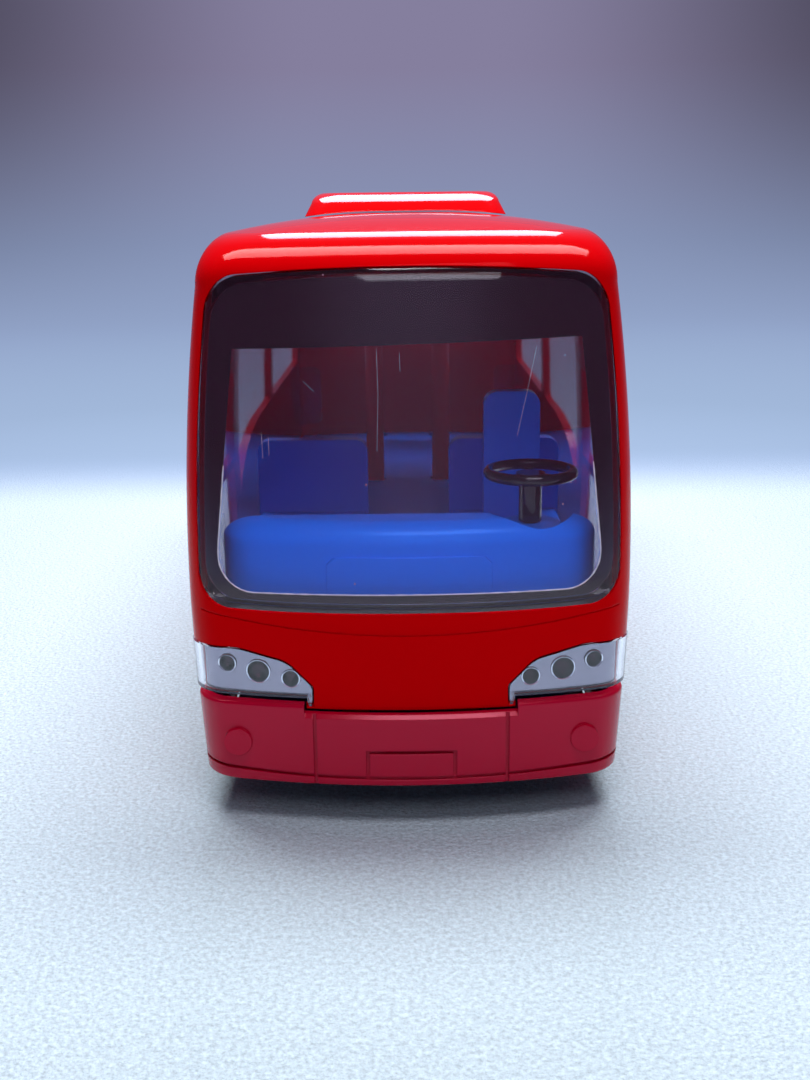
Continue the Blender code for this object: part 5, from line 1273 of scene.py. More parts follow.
def make_shell():
    shell = skin_layer("red_shell", 0.0, WALL)
    for tool in shell_cutters():
        cut(shell, tool)
    cut(shell, fitted_cutter("seam", seam_outline(), SEAM_DEPTH))
    for tool in panel_line_cutters():
        cut(shell, tool)
    for i in range(bpy.context.scene.coach_sizes.louvres):
        low = LOUVRE_FOOT_Z + LOUVRE_PITCH * i
        corner = LOUVRE_HEIGHT * 0.45
        slot = box_outline((-LOUVRE_HALF, low), (LOUVRE_HALF, low + LOUVRE_HEIGHT), corner, corner)
        cut(shell, fitted_cutter("louvre", slot, GROOVE_DEPTH * 2, 0.0, BEHIND))
    for x, y, top in post_places():
        if top is None:
            top = ROOF_EDGE_Z + ROOF_CAMBER / 2
        else:
            join(shell, post_web(x, y, top))
        join(shell, rod("post", "Z", (x, y), POST_RADIUS, POST_FOOT_Z, top, 24))
    return finished(shell, "gloss_red", "body", "body_shell", skin=skin_normals())


def make_windscreen():
    """A clear tray with a rim and black print inside its pane. The white line painted as a highlight where
    the rim turns is made on its own.
    """
    depth = WALL + GAP + GLASS_RIM
    pane = skin_layer("clear_windscreen", -GLASS_PROUD, depth)
    keep(pane, screen_block(GAP, SCREEN_REACH - GAP))
    hollow = skin_layer("hollow", GLASS_THICKNESS, depth + BEYOND)
    keep(hollow, screen_block(GAP + GLASS_RIM))
    cut(pane, hollow)
    finished(pane, "screen", "body", "windscreen", slot="clear", skin=skin_normals())
    slack = PRINT_THICKNESS / 2
    inside = GLASS_THICKNESS + slack
    border = skin_layer("windscreen_print", inside, depth + slack + PRINT_THICKNESS)
    keep(border, screen_block(GAP))
    rim = skin_layer("rim", -BEYOND / 2, depth + slack)
    cut(rim, screen_block(GAP + GLASS_RIM + slack))
    cut(border, rim)
    well = skin_layer("well", inside + PRINT_THICKNESS, depth + BEYOND)
    keep(well, screen_block(GAP + GLASS_RIM + slack + PRINT_THICKNESS))
    cut(border, well)
    cut(border, prism("field", print_outline(), "Y", AHEAD, 0.0))
    finished(border, "print", "body", slot="clear", skin=skin_normals())


def print_edge_highlight_path():
    """The path of the white line painted as a highlight along the print's foot and up its lower sides."""
    outline = print_outline(bpy.context.scene.coach_sizes.bead * 0.5)
    low_part = [point for point in outline if point[1] < PRINT_TOP_Z[0] - HIGHLIGHT_LINE_BREAK]
    path = []
    for side, order in ((LEFT, HIGHLIGHT_LINE_HEIGHTS), (RIGHT, reversed(HIGHLIGHT_LINE_HEIGHTS))):
        for z in order:
            share = (z - PRINT_FOOT_Z) / (PRINT_TOP_Z[0] - PRINT_FOOT_Z)
            x = side * (PRINT_FOOT_HALF + (PRINT_TOP_HALF - PRINT_FOOT_HALF) * share)
            path.append((x, z))
        if side == LEFT:
            path += low_part
    return path


def hairline(name, points, radius):
    """A thin tube on the inside of the windscreen, through points given as (x, z)."""
    curve = bpy.data.curves.new(name, "CURVE")
    curve.dimensions = "3D"
    curve.bevel_depth = radius
    curve.bevel_resolution = 2
    curve.use_fill_caps = True
    spline = curve.splines.new("POLY")
    dense = []
    for (x0, z0), (x1, z1) in zip(points, points[1:]):
        pieces = max(1, int(math.hypot(x1 - x0, z1 - z0) / HAIRLINE_STEP))
        dense += [(x0 + (x1 - x0) * i / pieces, z0 + (z1 - z0) * i / pieces) for i in range(pieces)]
    dense.append(points[-1])
    spline.points.add(len(dense) - 1)
    for i, (point, (x, z)) in enumerate(zip(spline.points, dense)):
        skin = skin_at(z)
        depth = end_setback(x, skin.half, FRONT_BOW) + GLASS_THICKNESS + radius * 1.2
        point.co = (x, skin.front + depth, z, 1.0)
        point.radius = 0.55 + 0.45 * math.sin(i * 1.7) ** 2
    holder = placed(name, curve)
    mesh = evaluated_mesh(holder)
    bpy.data.objects.remove(holder)
    return placed(name, mesh)


def make_highlight_line_and_scratches():
    """A white line inside the print, painted as a highlight, and the few scratches that handling has left."""
    radius = bpy.context.scene.coach_sizes.bead
    # The bead is a white tube laid where the pane's edge catches the light: a painted highlight
    finished(hairline("windscreen_painted_highlight", print_edge_highlight_path(), radius), "bead", "body", slot="clear")
    for i, points in enumerate(SCRATCHES):
        scratch = hairline(f"windscreen_scratch_{i + 1}", points, SCRATCH_RADIUS)
        finished(scratch, "bead", "body", slot="clear")


def make_window_sheet(name, node, window):
    """A clear sheet that lies against the inside of the wall, as large as the window's block."""
    inside = WALL + GAP
    sheet = keep(skin_layer(name, inside, inside + GLASS_THICKNESS), window)
    finished(sheet, "clear", "body", node, skin=skin_normals())


def make_side_glass(side, word):
    """One clear sheet behind all the windows of a side."""
    over = SIDE_GLASS_OVERLAP
    lean = DOOR_GLASS_LEAN * (WINDOW_TOP_Z - DOOR_GLASS_FOOT_Z) / (DOOR_GLASS_TOP_Z - DOOR_GLASS_FOOT_Z)
    front = y_at(DOOR_GLASS_BACK) - over
    rear = y_at(BODY_LENGTH - REAR_PILLAR) + over
    low, high = DOOR_GLASS_FOOT_Z - over, WINDOW_TOP_Z + over
    outline = [(front, low), (rear, low), (rear, high), (front + lean, high)]
    near, far = sorted((side * (SEAT_OUTER_X - BEYOND), side * (BODY_WIDTH / 2 + BEYOND)))
    make_window_sheet(f"clear_side_{word}", f"side_glass_{word}", prism("outline", outline, "X", near, far))


def make_rear_window():
    window = prism("outline", rear_window_outline(SIDE_GLASS_OVERLAP), "Y", 0.0, BEHIND)
    make_window_sheet("clear_rear_window", "rear_window", window)


def make_roof_pod():
    """The roof unit: a tapered cover with round edges and a row of slats, on the cambered roof."""
    front, rear = y_at(POD_BACK), y_at(POD_BACK + POD_LENGTH)
    levels = [(ROOF_EDGE_Z, 0.0)]
    for rise, run in quarter(CORNER_STEPS):
        levels.append((POD_TOP_Z - POD_CROWN + POD_CROWN * rise, POD_TAPER * 0.45 + POD_TAPER * 0.55 * run))
    rings = []
    for z, inset in levels:
        half = POD_HALF_WIDTH - inset
        nose = front + inset + max(0.0, z - POD_NOSE_Z) * POD_NOSE_SLOPE
        outline = box_outline((-half, nose), (half, rear - inset), POD_CORNER, POD_CORNER)
        rings.append([(x, y, z) for x, y in outline])
    pod = loft("roof_unit", rings)
    cut(pod, loft("roof", body_rings(-GAP, SHOULDER_Z - BEYOND)))
    count = bpy.context.scene.coach_sizes.pod_slats
    low, high = (-POD_SLAT_HALF, -GROOVE_WIDTH, -GROOVE_DEPTH), (POD_SLAT_HALF, GROOVE_WIDTH, BEYOND)
    slots = block("slots", low, high)
    first = (front + rear) / 2 - POD_SLAT_PITCH * (count - 1) / 2
    repeated(slots, "gloss_red", count, (0, first, POD_TOP_Z), (0, POD_SLAT_PITCH, 0))
    cut(pod, slots)
    finished(pod, "gloss_red", "body", "roof_pod")


# Lamps


def tray_face_y(x, z):
    skin = skin_at(z)
    return skin.front + end_setback(x, skin.half, FRONT_BOW) + LENS_THICKNESS + GAP


def cup_floor(x, z):
    """The y at which a lamp cup ends, so that the tray keeps a floor behind it."""
    return tray_face_y(x, z) + REFLECTOR_DEPTH * REFLECTOR_FLOOR


def make_head_lamp(side, word):
    """The clear lens, flush with the skin, and the silvered tray with its three cups behind it."""
    lens = skin_layer(f"clear_lens_{word}", -GLASS_PROUD, LENS_THICKNESS)
    tray_face = LENS_THICKNESS + GAP
    tray = skin_layer(f"silver_tray_{word}", tray_face, tray_face + REFLECTOR_DEPTH)
    reach = y_at(LAMP_WRAP - GAP)
    keep(lens, prism("outline", on_side(lamp_outline(GAP, BODY_WIDTH), side), "Y", AHEAD, reach))
    keep(tray, prism("outline", on_side(lamp_outline(GAP, REFLECTOR_OUTER_X), side), "Y", AHEAD, reach))
    cups = [(side * x, z, radius, cup_floor(x, z)) for x, z, radius in LAMP_CUPS]
    for x, z, radius, floor_y in cups:
        cut(tray, rod("cup", "Y", (x, z), radius, AHEAD, floor_y))
    finished(lens, "clear", "body", f"headlamp_lens_{word}", skin=skin_normals())
    finished(tray, "lamp_silver", "body", f"headlamp_reflector_{word}", skin=skin_normals())
    make_cup_linings(word, cups)


def make_cup_linings(word, cups):
    """A bowl painted dark maroon as shade and red reflection, and a rim painted bright as a highlight, for
    each cup, given as x, z, radius and the y of its floor.
    """
    steps, levels = 32, 8
    bm = bmesh.new()
    for x, z, radius, floor_y in cups:
        wide, deep = radius - CUP_RING * 0.25, radius * 0.75
        rows = []
        for rise, run in quarter(levels):
            reach = max(wide * (1 - run), radius * 0.03)
            y = floor_y - GROOVE_DEPTH * 0.2 - deep * (1 - rise)
            rows.append([bm.verts.new((u, y, w)) for u, w in circle((x, z), reach, steps)])
        bridge(bm, rows)
        bm.faces.new(rows[-1])
    # Dark maroon bowls: painted shade and a painted reflection of the red body
    finished(object_from(f"cup_bowls_{word}", bm), "bowl", "body", slot="lamp_silver")
    bm = bmesh.new()
    for x, z, radius, _ in cups:
        def place(a, b):
            reach = radius + CUP_RING * (0.4 + 0.5 * math.cos(b))
            u, w = x + reach * math.cos(a), z + reach * math.sin(a)
            return u, tray_face_y(u, w) - CUP_RING * 0.4 * math.sin(b), w

        add_tube(bm, steps, levels, place)
    # Near-white rims, brighter than the trays' silver: a painted highlight
    finished(object_from(f"cup_rims_{word}", bm), "rim", "body", slot="lamp_silver")


def make_lamp_surround(side, word):
    """The red wall that shows through the lens where it runs round the corner, past the tray's end."""
    face = LENS_THICKNESS + GAP
    wall = skin_layer(f"lamp_surround_{word}", face, face + SURROUND_THICKNESS)
    near, far = sorted((side * (REFLECTOR_OUTER_X + GAP / 3), side * BODY_WIDTH))
    low, high = LAMP_FOOT_Z + GAP * 2, LAMP_TOP_Z - GAP * 2
    keep(wall, block("corner", (near, AHEAD, low), (far, y_at(LAMP_WRAP - GAP * 2), high)))
    finished(wall, "satin_red", "body", slot="gloss_red")


def make_tail_lamp(side, word):
    lamp = skin_layer(f"red_tail_lamp_{word}", -GLASS_PROUD, WALL)
    start = y_at(BODY_LENGTH - TAIL_LAMP_WRAP + GAP)
    keep(lamp, prism("outline", on_side(tail_lamp_outline(TAIL_LAMP_GAP), side), "Y", start, BEHIND))
    finished(lamp, "lamp_red", "body", f"tail_lamp_{word}", skin=skin_normals())


# Bumpers


def bumper_ring(z, inset, radius):
    """The bumper's outline at one height, moved in by inset."""
    half = half_width(z) - BUMPER_SIDE_STEP - inset
    return plan_ring(z, half, y_at(inset), y_at(BODY_LENGTH - inset), radius)


def bumper_rings(top, ledge=False):
    """Rings of a bumper's face, with round top and bottom edges, or a sloping ledge for a top."""
    edge, steps, middle = BUMPER_EDGE, 5, 12
    rise = LEDGE_RISE if ledge else edge
    levels = [(BUMPER_FOOT_Z + edge * run, edge * (1 - up)) for up, run in quarter(steps)]
    for i in range(1, middle):
        levels.append((BUMPER_FOOT_Z + edge + (top - BUMPER_FOOT_Z - edge - rise) * i / middle, 0.0))
    if ledge:
        levels += [(top - rise, 0.0), (top, LEDGE_DEPTH)]
    else:
        levels += [(top - edge + edge * up, edge * run) for up, run in quarter(steps)]
    return [bumper_ring(z, tuck, CORNER_RADIUS) for z, tuck in levels]


def bumper_inside(inset):
    """A block with the bumper's plan, moved in, that runs past its top and bottom."""
    heights = (BUMPER_FOOT_Z - BEYOND, BUMPER_CORNER_Z + BEYOND)
    return loft("inside", [bumper_ring(z, inset, CORNER_RADIUS - inset) for z in heights])


def lip_groove():
    """A thin line round the bumper, above its lip, lowest in the middle."""
    half = BODY_WIDTH / 2
    line = band(half + BEYOND, lambda x: LIP_Z + LIP_RISE * (x / half) ** 2, PANEL_LINE / 2)
    return cut(prism("lip", line, "Y", AHEAD, BEHIND), bumper_inside(GROOVE_DEPTH))


def plate_frame(y_start, y_end):
    """The groove round the bare number-plate field, which opens into the lip's line."""
    line = PANEL_LINE
    outer = block("plate", (-PLATE_HALF, y_start, LIP_Z), (PLATE_HALF, y_end, PLATE_TOP_Z))
    low = (-PLATE_HALF + line, y_start - BEYOND, LIP_Z - BEYOND)
    return cut(outer, block("field", low, (PLATE_HALF - line, y_end + BEYOND, PLATE_TOP_Z - line)))


def bumper_grooves(bumper, end):
    """Panel lines and the plate's frame. end is -1 at the front and 1 at the rear."""
    face = y_at(0.0) if end < 0 else y_at(BODY_LENGTH)
    near, far = sorted((face + end * BEYOND, face - end * BUMPER_GROOVE_DEPTH))
    cut(bumper, lip_groove())
    cut(bumper, plate_frame(near, far))
    slack = end_setback(PANEL_LINE_X, BODY_WIDTH / 2, FRONT_BOW)
    near, far = sorted((face + end * BEYOND, face - end * (BUMPER_GROOVE_DEPTH + slack)))
    for side in (LEFT, RIGHT):
        x = side * PANEL_LINE_X
        high = (x + PANEL_LINE / 2, far, BUMPER_CORNER_Z + BEYOND)
        cut(bumper, block("line", (x - PANEL_LINE / 2, near, 0.0), high))


def make_bumper(name, node, end):
    bumper = loft(name, bumper_rings(BUMPER_CORNER_Z))
    cut(bumper, bumper_inside(BUMPER_WALL))
    if end < 0:
        reach = y_at(BUMPER_REACH)
        keep(bumper, slab("reach", BODY_WIDTH, AHEAD, reach))
        cut(bumper, slab("step", BUMPER_STEP_X, AHEAD, reach))
        middle = loft("middle", bumper_rings(BUMPER_CENTRE_Z, ledge=True))
        cut(middle, bumper_inside(BUMPER_WALL))
        keep(middle, slab("reach", BUMPER_STEP_X, AHEAD, reach))
        join(bumper, middle)
    else:
        keep(bumper, slab("reach", BODY_WIDTH, y_at(BODY_LENGTH - BUMPER_REACH), BEHIND))
    bumper_grooves(bumper, end)
    if end < 0:
        bow = end_setback(FOG_DISC_X, half_width(FOG_DISC_Z), FRONT_BOW)
        face, root = y_at(bow - FOG_DISC_PROUD), y_at(bow + BUMPER_WALL)
        for side in (LEFT, RIGHT):
            join(bumper, rod("disc", "Y", (side * FOG_DISC_X, FOG_DISC_Z), FOG_DISC_RADIUS, face, root))
    finished(bumper, "satin_red", "body", node)


# Cabin


def seat(name, low_x, high_x, back, foot, top, cushion_top, cushion):
    """A moulded seat: an upright back with round top corners and a cushion before it."""
    outline = box_outline((low_x, foot), (high_x, top), 0, min(SEAT_CORNER, (high_x - low_x) / 4))
    rest = prism(name, outline, "Y", y_at(back), y_at(back + SEAT_THICKNESS))
    front, rear = y_at(back - cushion), y_at(back + SEAT_THICKNESS / 2)
    edge = SEAT_EDGE
    side = rounded([(front, foot, 0), (rear, foot, 0), (rear, cushion_top, 0), (front, cushion_top, edge)])
    join(rest, prism("cushion", side, "X", low_x + edge / 2, high_x - edge / 2))
    return rest


def make_dash():
    """The dashboard: it follows the nose's plan and has a boss and a dish for the steering column."""
    round_z = DASH_TOP_Z - DASH_ROUND
    levels = [(FLOOR_Z + (round_z - FLOOR_Z) * i / 6, 0.0) for i in range(6)]
    levels += [(round_z + DASH_ROUND * rise, DASH_ROUND * run) for rise, run in quarter(14)]
    dash = loft("dash", [inner_ring(z, skin_at(z), DASH_INSET + drawn, DASH_CORNER) for z, drawn in levels])
    keep(dash, slab("back", BODY_WIDTH, AHEAD, y_at(DASH_BACK)))
    panel = skin_layer("panel", DASH_INSET - GAP, DASH_INSET + GAP * 3, FLOOR_Z)
    low, high = (-DASH_PANEL_HALF, FLOOR_Z + FLOOR_THICKNESS), (DASH_PANEL_HALF, DASH_PANEL_TOP_Z)
    outline = box_outline(low, high, 0, DASH_PANEL_CORNER)
    keep(panel, prism("outline", outline, "Y", AHEAD, y_at(DASH_BACK / 2)))
    join(dash, panel)
    centre = (STEERING_X, y_at(STEERING_BACK))
    dish_z = DASH_TOP_Z - STEERING_DISH_DEPTH
    foot = FLOOR_Z + FLOOR_THICKNESS / 2
    join(dash, rod("boss", "Z", centre, STEERING_BOSS_RADIUS, foot, dish_z - GAP / 3))
    cut(dash, rod("dish", "Z", centre, STEERING_DISH_RADIUS, dish_z, DASH_TOP_Z + BEYOND))
    return dash


def make_cabin():
    """The blue moulding: floor, dashboard, driver's seat and passenger seats in one piece."""
    skin = skin_at(FLOOR_Z)
    inset = FLOOR_INSET
    floor_top = FLOOR_Z + FLOOR_THICKNESS
    plan = (skin.half - inset, skin.front + DASH_INSET, skin.rear - inset, CORNER_RADIUS - inset)
    cabin = loft("blue_cabin", [plan_ring(z, *plan) for z in (FLOOR_Z, floor_top)])
    cut(cabin, slab("front", BODY_WIDTH, AHEAD, y_at(LAMP_WRAP + GAP)))
    join(cabin, make_dash())
    foot = floor_top - FLOOR_THICKNESS / 2
    top = floor_top + SEAT_HEIGHT
    cushion_top = floor_top + SEAT_CUSHION_HEIGHT
    for side in (LEFT, RIGHT):
        low_x, high_x = sorted((side * SEAT_INNER_X, side * SEAT_OUTER_X))
        join(cabin, seat("seat", low_x, high_x, SEAT_BACK, foot, top, cushion_top, SEAT_CUSHION))
    low_x, high_x = DRIVER_SEAT_X - DRIVER_SEAT_HALF, DRIVER_SEAT_X + DRIVER_SEAT_HALF
    cushion_top = floor_top + SEAT_CUSHION_HEIGHT * 1.3
    back, top = DRIVER_SEAT_BACK, DRIVER_SEAT_TOP_Z
    join(cabin, seat("driver", low_x, high_x, back, foot, top, cushion_top, SEAT_CUSHION * 0.8))
    for side in (LEFT, RIGHT):
        for back in (FRONT_AXLE_BACK + CABIN_LEG_RUN, REAR_AXLE_BACK - CABIN_LEG_RUN):
            leg = (side * CABIN_LEG_X, y_at(back))
            join(cabin, rod("leg", "Z", leg, CABIN_LEG_RADIUS, CHASSIS_TOP_Z + GAP, foot, 24))
    for x, y, _ in post_places():
        cut(cabin, rod("hole", "Z", (x, y), POST_RADIUS + GAP * 2, FLOOR_Z - BEYOND, floor_top + BEYOND, 24))
    finished(cabin, "cabin_blue", "body", "cabin")


def make_steering_wheel():
    """A round rim on spokes and a column whose peg turns in the dashboard."""
    x, y = STEERING_X, y_at(STEERING_BACK)
    dish = DASH_TOP_Z - STEERING_DISH_DEPTH + GAP
    hub_z = STEERING_Z - STEERING_HUB_DEPTH
    wheel = rod("black_steering_wheel", "Z", (x, y), STEERING_COLUMN_RADIUS, dish, hub_z)
    join(wheel, rod("peg", "Z", (x, y), STEERING_PEG_RADIUS, dish - STEERING_PEG_DEPTH, dish + GAP))
    join(wheel, rod("hub", "Z", (x, y), STEERING_COLUMN_RADIUS * 1.25, hub_z - GAP, STEERING_Z))
    rim_centre = STEERING_RADIUS - STEERING_RIM

    def place(a, b):
        reach = rim_centre + STEERING_RIM * math.cos(b)
        return x + reach * math.cos(a), y + reach * math.sin(a), STEERING_Z + STEERING_RIM * math.sin(b)

    bm = bmesh.new()
    add_tube(bm, 96, 20, place)
    join(wheel, object_from("rim", bm))
    thin, flat = STEERING_RIM * 0.8, STEERING_RIM * 0.45
    for i in range(STEERING_SPOKES):
        a = math.pi / 2 + 2 * math.pi * i / STEERING_SPOKES
        spoke = block("spoke", (0.0, -thin, -flat), (rim_centre, thin, flat))
        spoke.data.transform(Matrix.Translation((x, y, STEERING_Z - flat * 1.4)) @ Matrix.Rotation(a, 4, "Z"))
        join(wheel, spoke)
    finished(wheel, "gloss_black", "steering_wheel", "steering_wheel", slot="black")


# Wheels


def tyre_profile():
    """The tyre's section as (x, radius), from its inner bead round the tread to its outer bead."""
    outer, inner = TYRE_OUTER_X, TYRE_OUTER_X - TYRE_WIDTH
    base = TYRE_RADIUS - TREAD_HEIGHT
    turn = TYRE_SHOULDER
    bead = RIM_RADIUS + GAP
    points = [(inner, bead)]
    for centre, first in ((inner + turn, math.pi), (outer - turn, math.pi / 2)):
        for i in range(9):
            a = first - math.pi / 2 * i / 8
            points.append((centre + turn * math.cos(a), base - turn + turn * math.sin(a)))
    points.append((outer - turn / 3, bead))
    return points


def make_tyre(word, back, side, side_word, body):
    """A tyre with rows of tread blocks set out round it."""
    centre = axle_centre(back)
    name = f"tyre_{word}_{side_word}"
    tyre = turned(f"rubber_{name}", [(side * x, r) for x, r in tyre_profile()], centre)
    count = bpy.context.scene.coach_sizes.tread_blocks
    middle = side * (TYRE_OUTER_X - TYRE_WIDTH / 2)
    long = 2 * math.pi * TYRE_RADIUS / count * TREAD_SHARE
    top = math.sqrt(TYRE_RADIUS**2 - long**2) - TREAD_SLACK
    for row, shift in ((-1, 0.0), (0, 0.5), (1, 0.0)):
        x = middle + row * TREAD_ROW_PITCH
        low = (x - TREAD_HALF, -long, TYRE_RADIUS - TREAD_HEIGHT * 2)
        tread = block("tread", low, (x + TREAD_HALF, long, top))
        turn = 2 * math.pi / count
        tread.data.transform(Matrix.Rotation(turn * shift, 4, "X"))
        repeated(tread, "tyre", count, (0, *centre), turn=(turn, 0, 0))
        merged = bmesh.new()
        merged.from_mesh(tyre.data)
        merged.from_mesh(tread.data)
        merged.to_mesh(tyre.data)
        merged.free()
        bpy.data.objects.remove(tread)
    finished(tyre, "tyre", body, name)


def make_hub(word, back, side, side_word, body):
    """A dished hub with a raised ring, a cap and a boss that reaches in to the axle's bearing."""
    centre = axle_centre(back)
    outer, web = TYRE_OUTER_X, TYRE_OUTER_X - TYRE_WIDTH + HUB_WEB
    profile = [(HUB_INNER_X, HUB_BORE), (HUB_INNER_X, HUB_BOSS), (web, HUB_BOSS), (web, RIM_RADIUS)]
    profile += [(outer - depth, radius) for depth, radius in HUB_FACE]
    profile.append((outer - HUB_FACE[-1][0], HUB_BORE))
    name = f"hub_{word}_{side_word}"
    hub = turned(f"silver_{name}", [(side * x, r) for x, r in profile], centre)
    start, end = side * (outer - HUB_HOLE_DEPTH), side * outer
    holes = rod("holes", "X", (HUB_HOLE_REACH, 0.0), HUB_HOLE_RADIUS, start, end, 20)
    repeated(holes, "hub", HUB_HOLES, (0, *centre), turn=(2 * math.pi / HUB_HOLES, 0, 0))
    cut(hub, holes)
    finished(hub, "hub", body, name)


# Screws


def make_screw_pair(word, y):
    """Two body screws of one row: domed heads with a slot, seen from below."""
    left, right = f"screw_{word}_left", f"screw_{word}_right"
    head, height = SCREW_HEAD, SCREW_HEAD_HEIGHT
    levels = [(height * 0.35 * run, head * rise) for rise, run in quarter(6)[1:]] + [(height, head)]
    rings = [[(u, v, drop) for u, v in circle((0, 0), radius, 32)] for drop, radius in levels]
    screw = loft(f"screws_{word}", rings)
    join(screw, rod("shank", "Z", (0, 0), SCREW_SHANK, height * 0.8, height + SCREW_LENGTH, 20))
    low, high = (-head * 2, -SCREW_SLOT_HALF, -BEYOND), (head * 2, SCREW_SLOT_HALF, height * 0.5)
    cut(screw, block("slot", low, high))
    left_box, right_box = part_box(left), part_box(right)
    x0, x1 = (left_box[0][0] + left_box[1][0]) / 2, (right_box[0][0] + right_box[1][0]) / 2
    repeated(screw, "steel", 2, (x0, y, left_box[0][2]), (x1 - x0, 0, 0))
    finished(screw, "steel", "body", left, right)


# The set


def make_stage():
    """A foam sheet under the coach and cloth that curves up all round it."""
    scene = bpy.context.scene
    colours, sizes = scene.coach_colours, scene.coach_sizes
    finish = foam_and_cloth(
        "closed-cell foam and cloth", colours.foam, colours.near_cloth, colours.shaded_far_cloth, sizes.foam_grain
    )
    path = [(0.3, 0.0), (STAGE_FLAT, 0.0)]
    path += [(STAGE_FLAT + STAGE_BEND * rise, STAGE_BEND * run) for rise, run in quarter(24)[1:]]
    path.append((STAGE_FLAT + STAGE_BEND, STAGE_WALL))
    bm = bmesh.new()
    rows = [[bm.verts.new((x, y, z)) for x, y in circle((0, 0), reach, 128)] for reach, z in path]
    bm.faces.new(rows[0])
    bridge(bm, rows)
    floor = object_from("foam_and_cloth", bm)
    floor.data.materials.append(finish)
    floor.data.shade_smooth()
    # The broad lamp above gives the plain level, two in front fill in, the one behind lights the roof's edge
    area_light("softbox_overhead", (0.0, 0.17, 0.72), (0.0, -0.03, 0.0), (0.70, 0.24), 7.2, "#FFFFFF")
    area_light("fill_in_front", (0.05, -0.58, 0.46), (0.0, -0.12, 0.05), (0.30, 0.22), 0.45, "#F6F4FF")
    area_light("lamp_in_front", (0.05, -0.30, 0.62), (0.0, -0.12, 0.05), (0.26, 0.16), 1.1, "#FFF4FA")
    area_light("window_behind", (0.01, 0.48, 0.44), (0.0, -0.10, 0.10), (0.27, 0.15), 1.2, "#F4E8FF")
    world = bpy.data.worlds.new("soft room")
    world.use_nodes = True
    tree = world.node_tree
    wire(tree, tree.nodes["Background"], Color=rgba(linear("#C4D0E4")), Strength=0.16)
    scene.world = world
    scene.view_settings.view_transform = "Standard"


def area_light(name, place, target, size, power, code):
    data = bpy.data.lights.new(name, "AREA")
    data.shape = "RECTANGLE"
    data.size, data.size_y = size
    data.energy = power
    data.color = linear(code)
    lamp = placed(name, data)
    aim = (Vector(target) - Vector(place)).to_track_quat("-Z", "Y")
    lamp.matrix_world = Matrix.Translation(place) @ aim.to_matrix().to_4x4()


def make_camera():
    data = bpy.data.cameras.new("camera")
    data.sensor_fit = "VERTICAL"
    data.sensor_height = SENSOR
    data.lens = FOCAL_PIXELS * SENSOR / PHOTO_HEIGHT
    data.clip_start = 0.01
    camera = placed("camera", data)
    turn = Matrix.Rotation(CAMERA_TURN, 4, "Z") @ Matrix.Rotation(CAMERA_TILT, 4, "X")
    camera.matrix_world = Matrix.Translation(CAMERA_PLACE) @ turn @ Matrix.Rotation(CAMERA_ROLL, 4, "Z")
    bpy.context.scene.camera = camera


# Operators


class CoachOperator:
    """What every step of the coach shares."""

    bl_options = {"REGISTER", "UNDO"}

    def execute(self, context):
        self.make()
        return {"FINISHED"}


class COACH_OT_camera(CoachOperator, bpy.types.Operator):
    """Sets the camera at the photograph's viewing angle"""

    bl_idname = "coach.camera"
    bl_label = "Camera"

    def make(self):
        make_camera()


class COACH_OT_shell(CoachOperator, bpy.types.Operator):
    """Builds the red shell with its openings, panel lines and screw posts"""

    bl_idname = "coach.shell"
    bl_label = "Shell"

    def make(self):
        make_shell()


class COACH_OT_glass(CoachOperator, bpy.types.Operator):
    """Builds the windscreen with its print, its painted highlight line and scratches, and the side and rear
    windows
    """

    bl_idname = "coach.glass"
    bl_label = "Glass"

    def make(self):
        make_windscreen()
        make_highlight_line_and_scratches()
        for side, word in SIDES:
            make_side_glass(side, word)
        make_rear_window()


class COACH_OT_roof(CoachOperator, bpy.types.Operator):
    """Builds the roof unit with its slats"""

    bl_idname = "coach.roof"
    bl_label = "Roof unit"

    def make(self):
        make_roof_pod()


class COACH_OT_lamps(CoachOperator, bpy.types.Operator):
    """Builds the head lamps and tail lamps"""

    bl_idname = "coach.lamps"
    bl_label = "Lamps"

    def make(self):
        for side, word in SIDES:
            make_head_lamp(side, word)
            make_lamp_surround(side, word)
            make_tail_lamp(side, word)


class COACH_OT_bumpers(CoachOperator, bpy.types.Operator):
    """Builds the front and rear bumpers"""

    bl_idname = "coach.bumpers"
    bl_label = "Bumpers"

    def make(self):
        make_bumper("crimson_front_bumper", "front_bumper", -1)
        make_bumper("crimson_rear_bumper", "rear_bumper", 1)


class COACH_OT_cabin(CoachOperator, bpy.types.Operator):
    """Builds the blue cabin and the steering wheel"""

    bl_idname = "coach.cabin"
    bl_label = "Cabin"

    def make(self):
        make_cabin()
        make_steering_wheel()


class COACH_OT_wheels(CoachOperator, bpy.types.Operator):
    """Builds the tyres and hubs"""

    bl_idname = "coach.wheels"
    bl_label = "Wheels"

    def make(self):
        for word, back in (("front", FRONT_AXLE_BACK), ("rear", REAR_AXLE_BACK)):
            for side, side_word in SIDES:
                make_tyre(word, back, side, side_word, f"{word}_wheelset")
                make_hub(word, back, side, side_word, f"{word}_wheelset")


class COACH_OT_screws(CoachOperator, bpy.types.Operator):
    """Builds the rows of body screws"""

    bl_idname = "coach.screws"
    bl_label = "Screws"

    def make(self):
        rows = (
            ("front", y_at(END_POST_BACK)),
            ("middle", y_at(MIDDLE_POST_PLACE)),
            ("rear", y_at(BODY_LENGTH - END_POST_BACK)),
        )
        for word, y in rows:
            make_screw_pair(word, y)


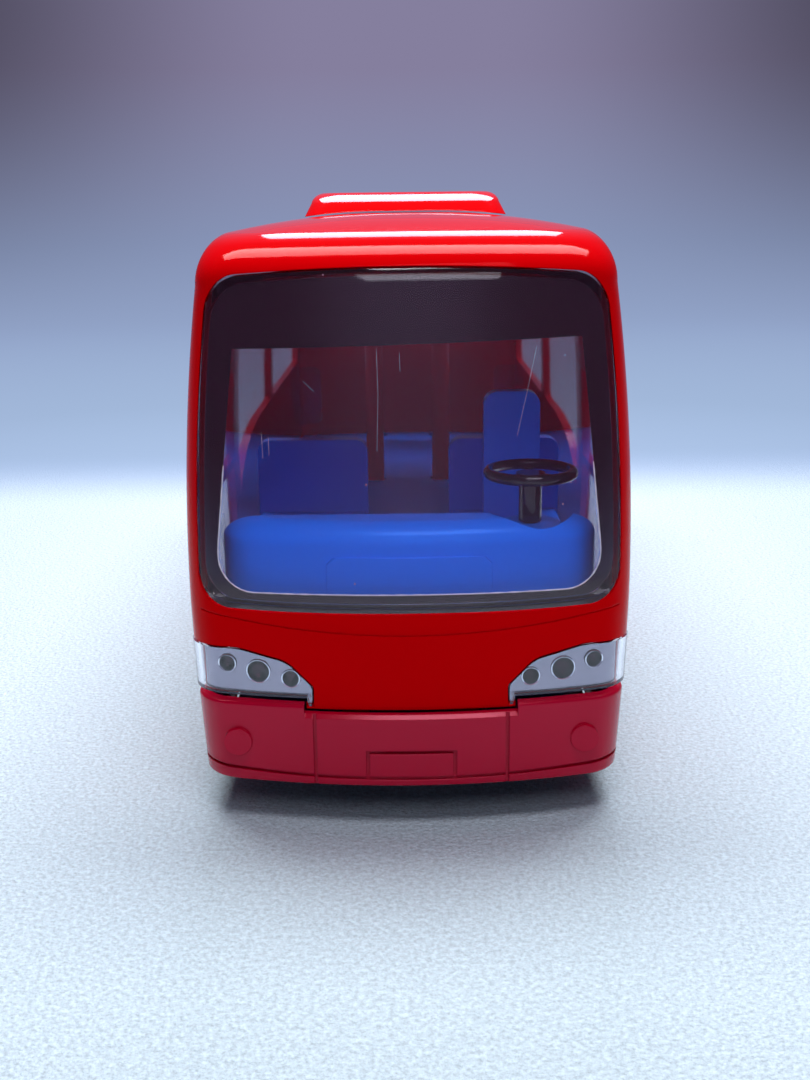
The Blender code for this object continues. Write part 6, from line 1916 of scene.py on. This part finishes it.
class COACH_OT_drive(CoachOperator, bpy.types.Operator):
    """Gives the chassis, axles, gears and flywheel their finishes"""

    bl_idname = "coach.drive"
    bl_label = "Drive and chassis"

    def make(self):
        slots = {entry["node"]: entry["material_slot"] for entry in frame["record"]["subparts"]}
        finishes = palette()
        for name, obj in frame["nodes"].items():
            if slots[name] in finishes:
                obj.data.materials.clear()
                obj.data.materials.append(finishes[slots[name]])


class COACH_OT_stage(CoachOperator, bpy.types.Operator):
    """Lays the foam sheet and sets the lamps"""

    bl_idname = "coach.stage"
    bl_label = "Stage"

    def make(self):
        make_stage()


class COACH_PT_panel(bpy.types.Panel):
    """The coach's colours, sizes and steps"""

    bl_idname = "COACH_PT_panel"
    bl_label = "Coach"
    bl_space_type = "VIEW_3D"
    bl_region_type = "UI"
    bl_category = "Coach"

    def draw(self, context):
        for group in (context.scene.coach_colours, context.scene.coach_sizes):
            for name in group.__annotations__:
                self.layout.prop(group, name)
        for step in STEPS:
            self.layout.operator(step.bl_idname)


STEPS = (
    COACH_OT_camera,
    COACH_OT_drive,
    COACH_OT_shell,
    COACH_OT_glass,
    COACH_OT_roof,
    COACH_OT_lamps,
    COACH_OT_bumpers,
    COACH_OT_cabin,
    COACH_OT_wheels,
    COACH_OT_screws,
    COACH_OT_stage,
)
CLASSES = (CoachColours, CoachSizes, *STEPS, COACH_PT_panel)


def register():
    for item in CLASSES:
        bpy.utils.register_class(item)
    bpy.types.Scene.coach_colours = PointerProperty(type=CoachColours)
    bpy.types.Scene.coach_sizes = PointerProperty(type=CoachSizes)


def unregister():
    del bpy.types.Scene.coach_sizes
    del bpy.types.Scene.coach_colours
    for item in reversed(CLASSES):
        bpy.utils.unregister_class(item)


def main():
    register()
    bpy.ops.coach.camera()
    bpy.ops.coach.drive()
    bpy.ops.coach.shell()
    bpy.ops.coach.glass()
    bpy.ops.coach.roof()
    bpy.ops.coach.lamps()
    bpy.ops.coach.bumpers()
    bpy.ops.coach.cabin()
    bpy.ops.coach.wheels()
    bpy.ops.coach.screws()
    bpy.ops.coach.stage()


if __name__ == "__main__":
    main()
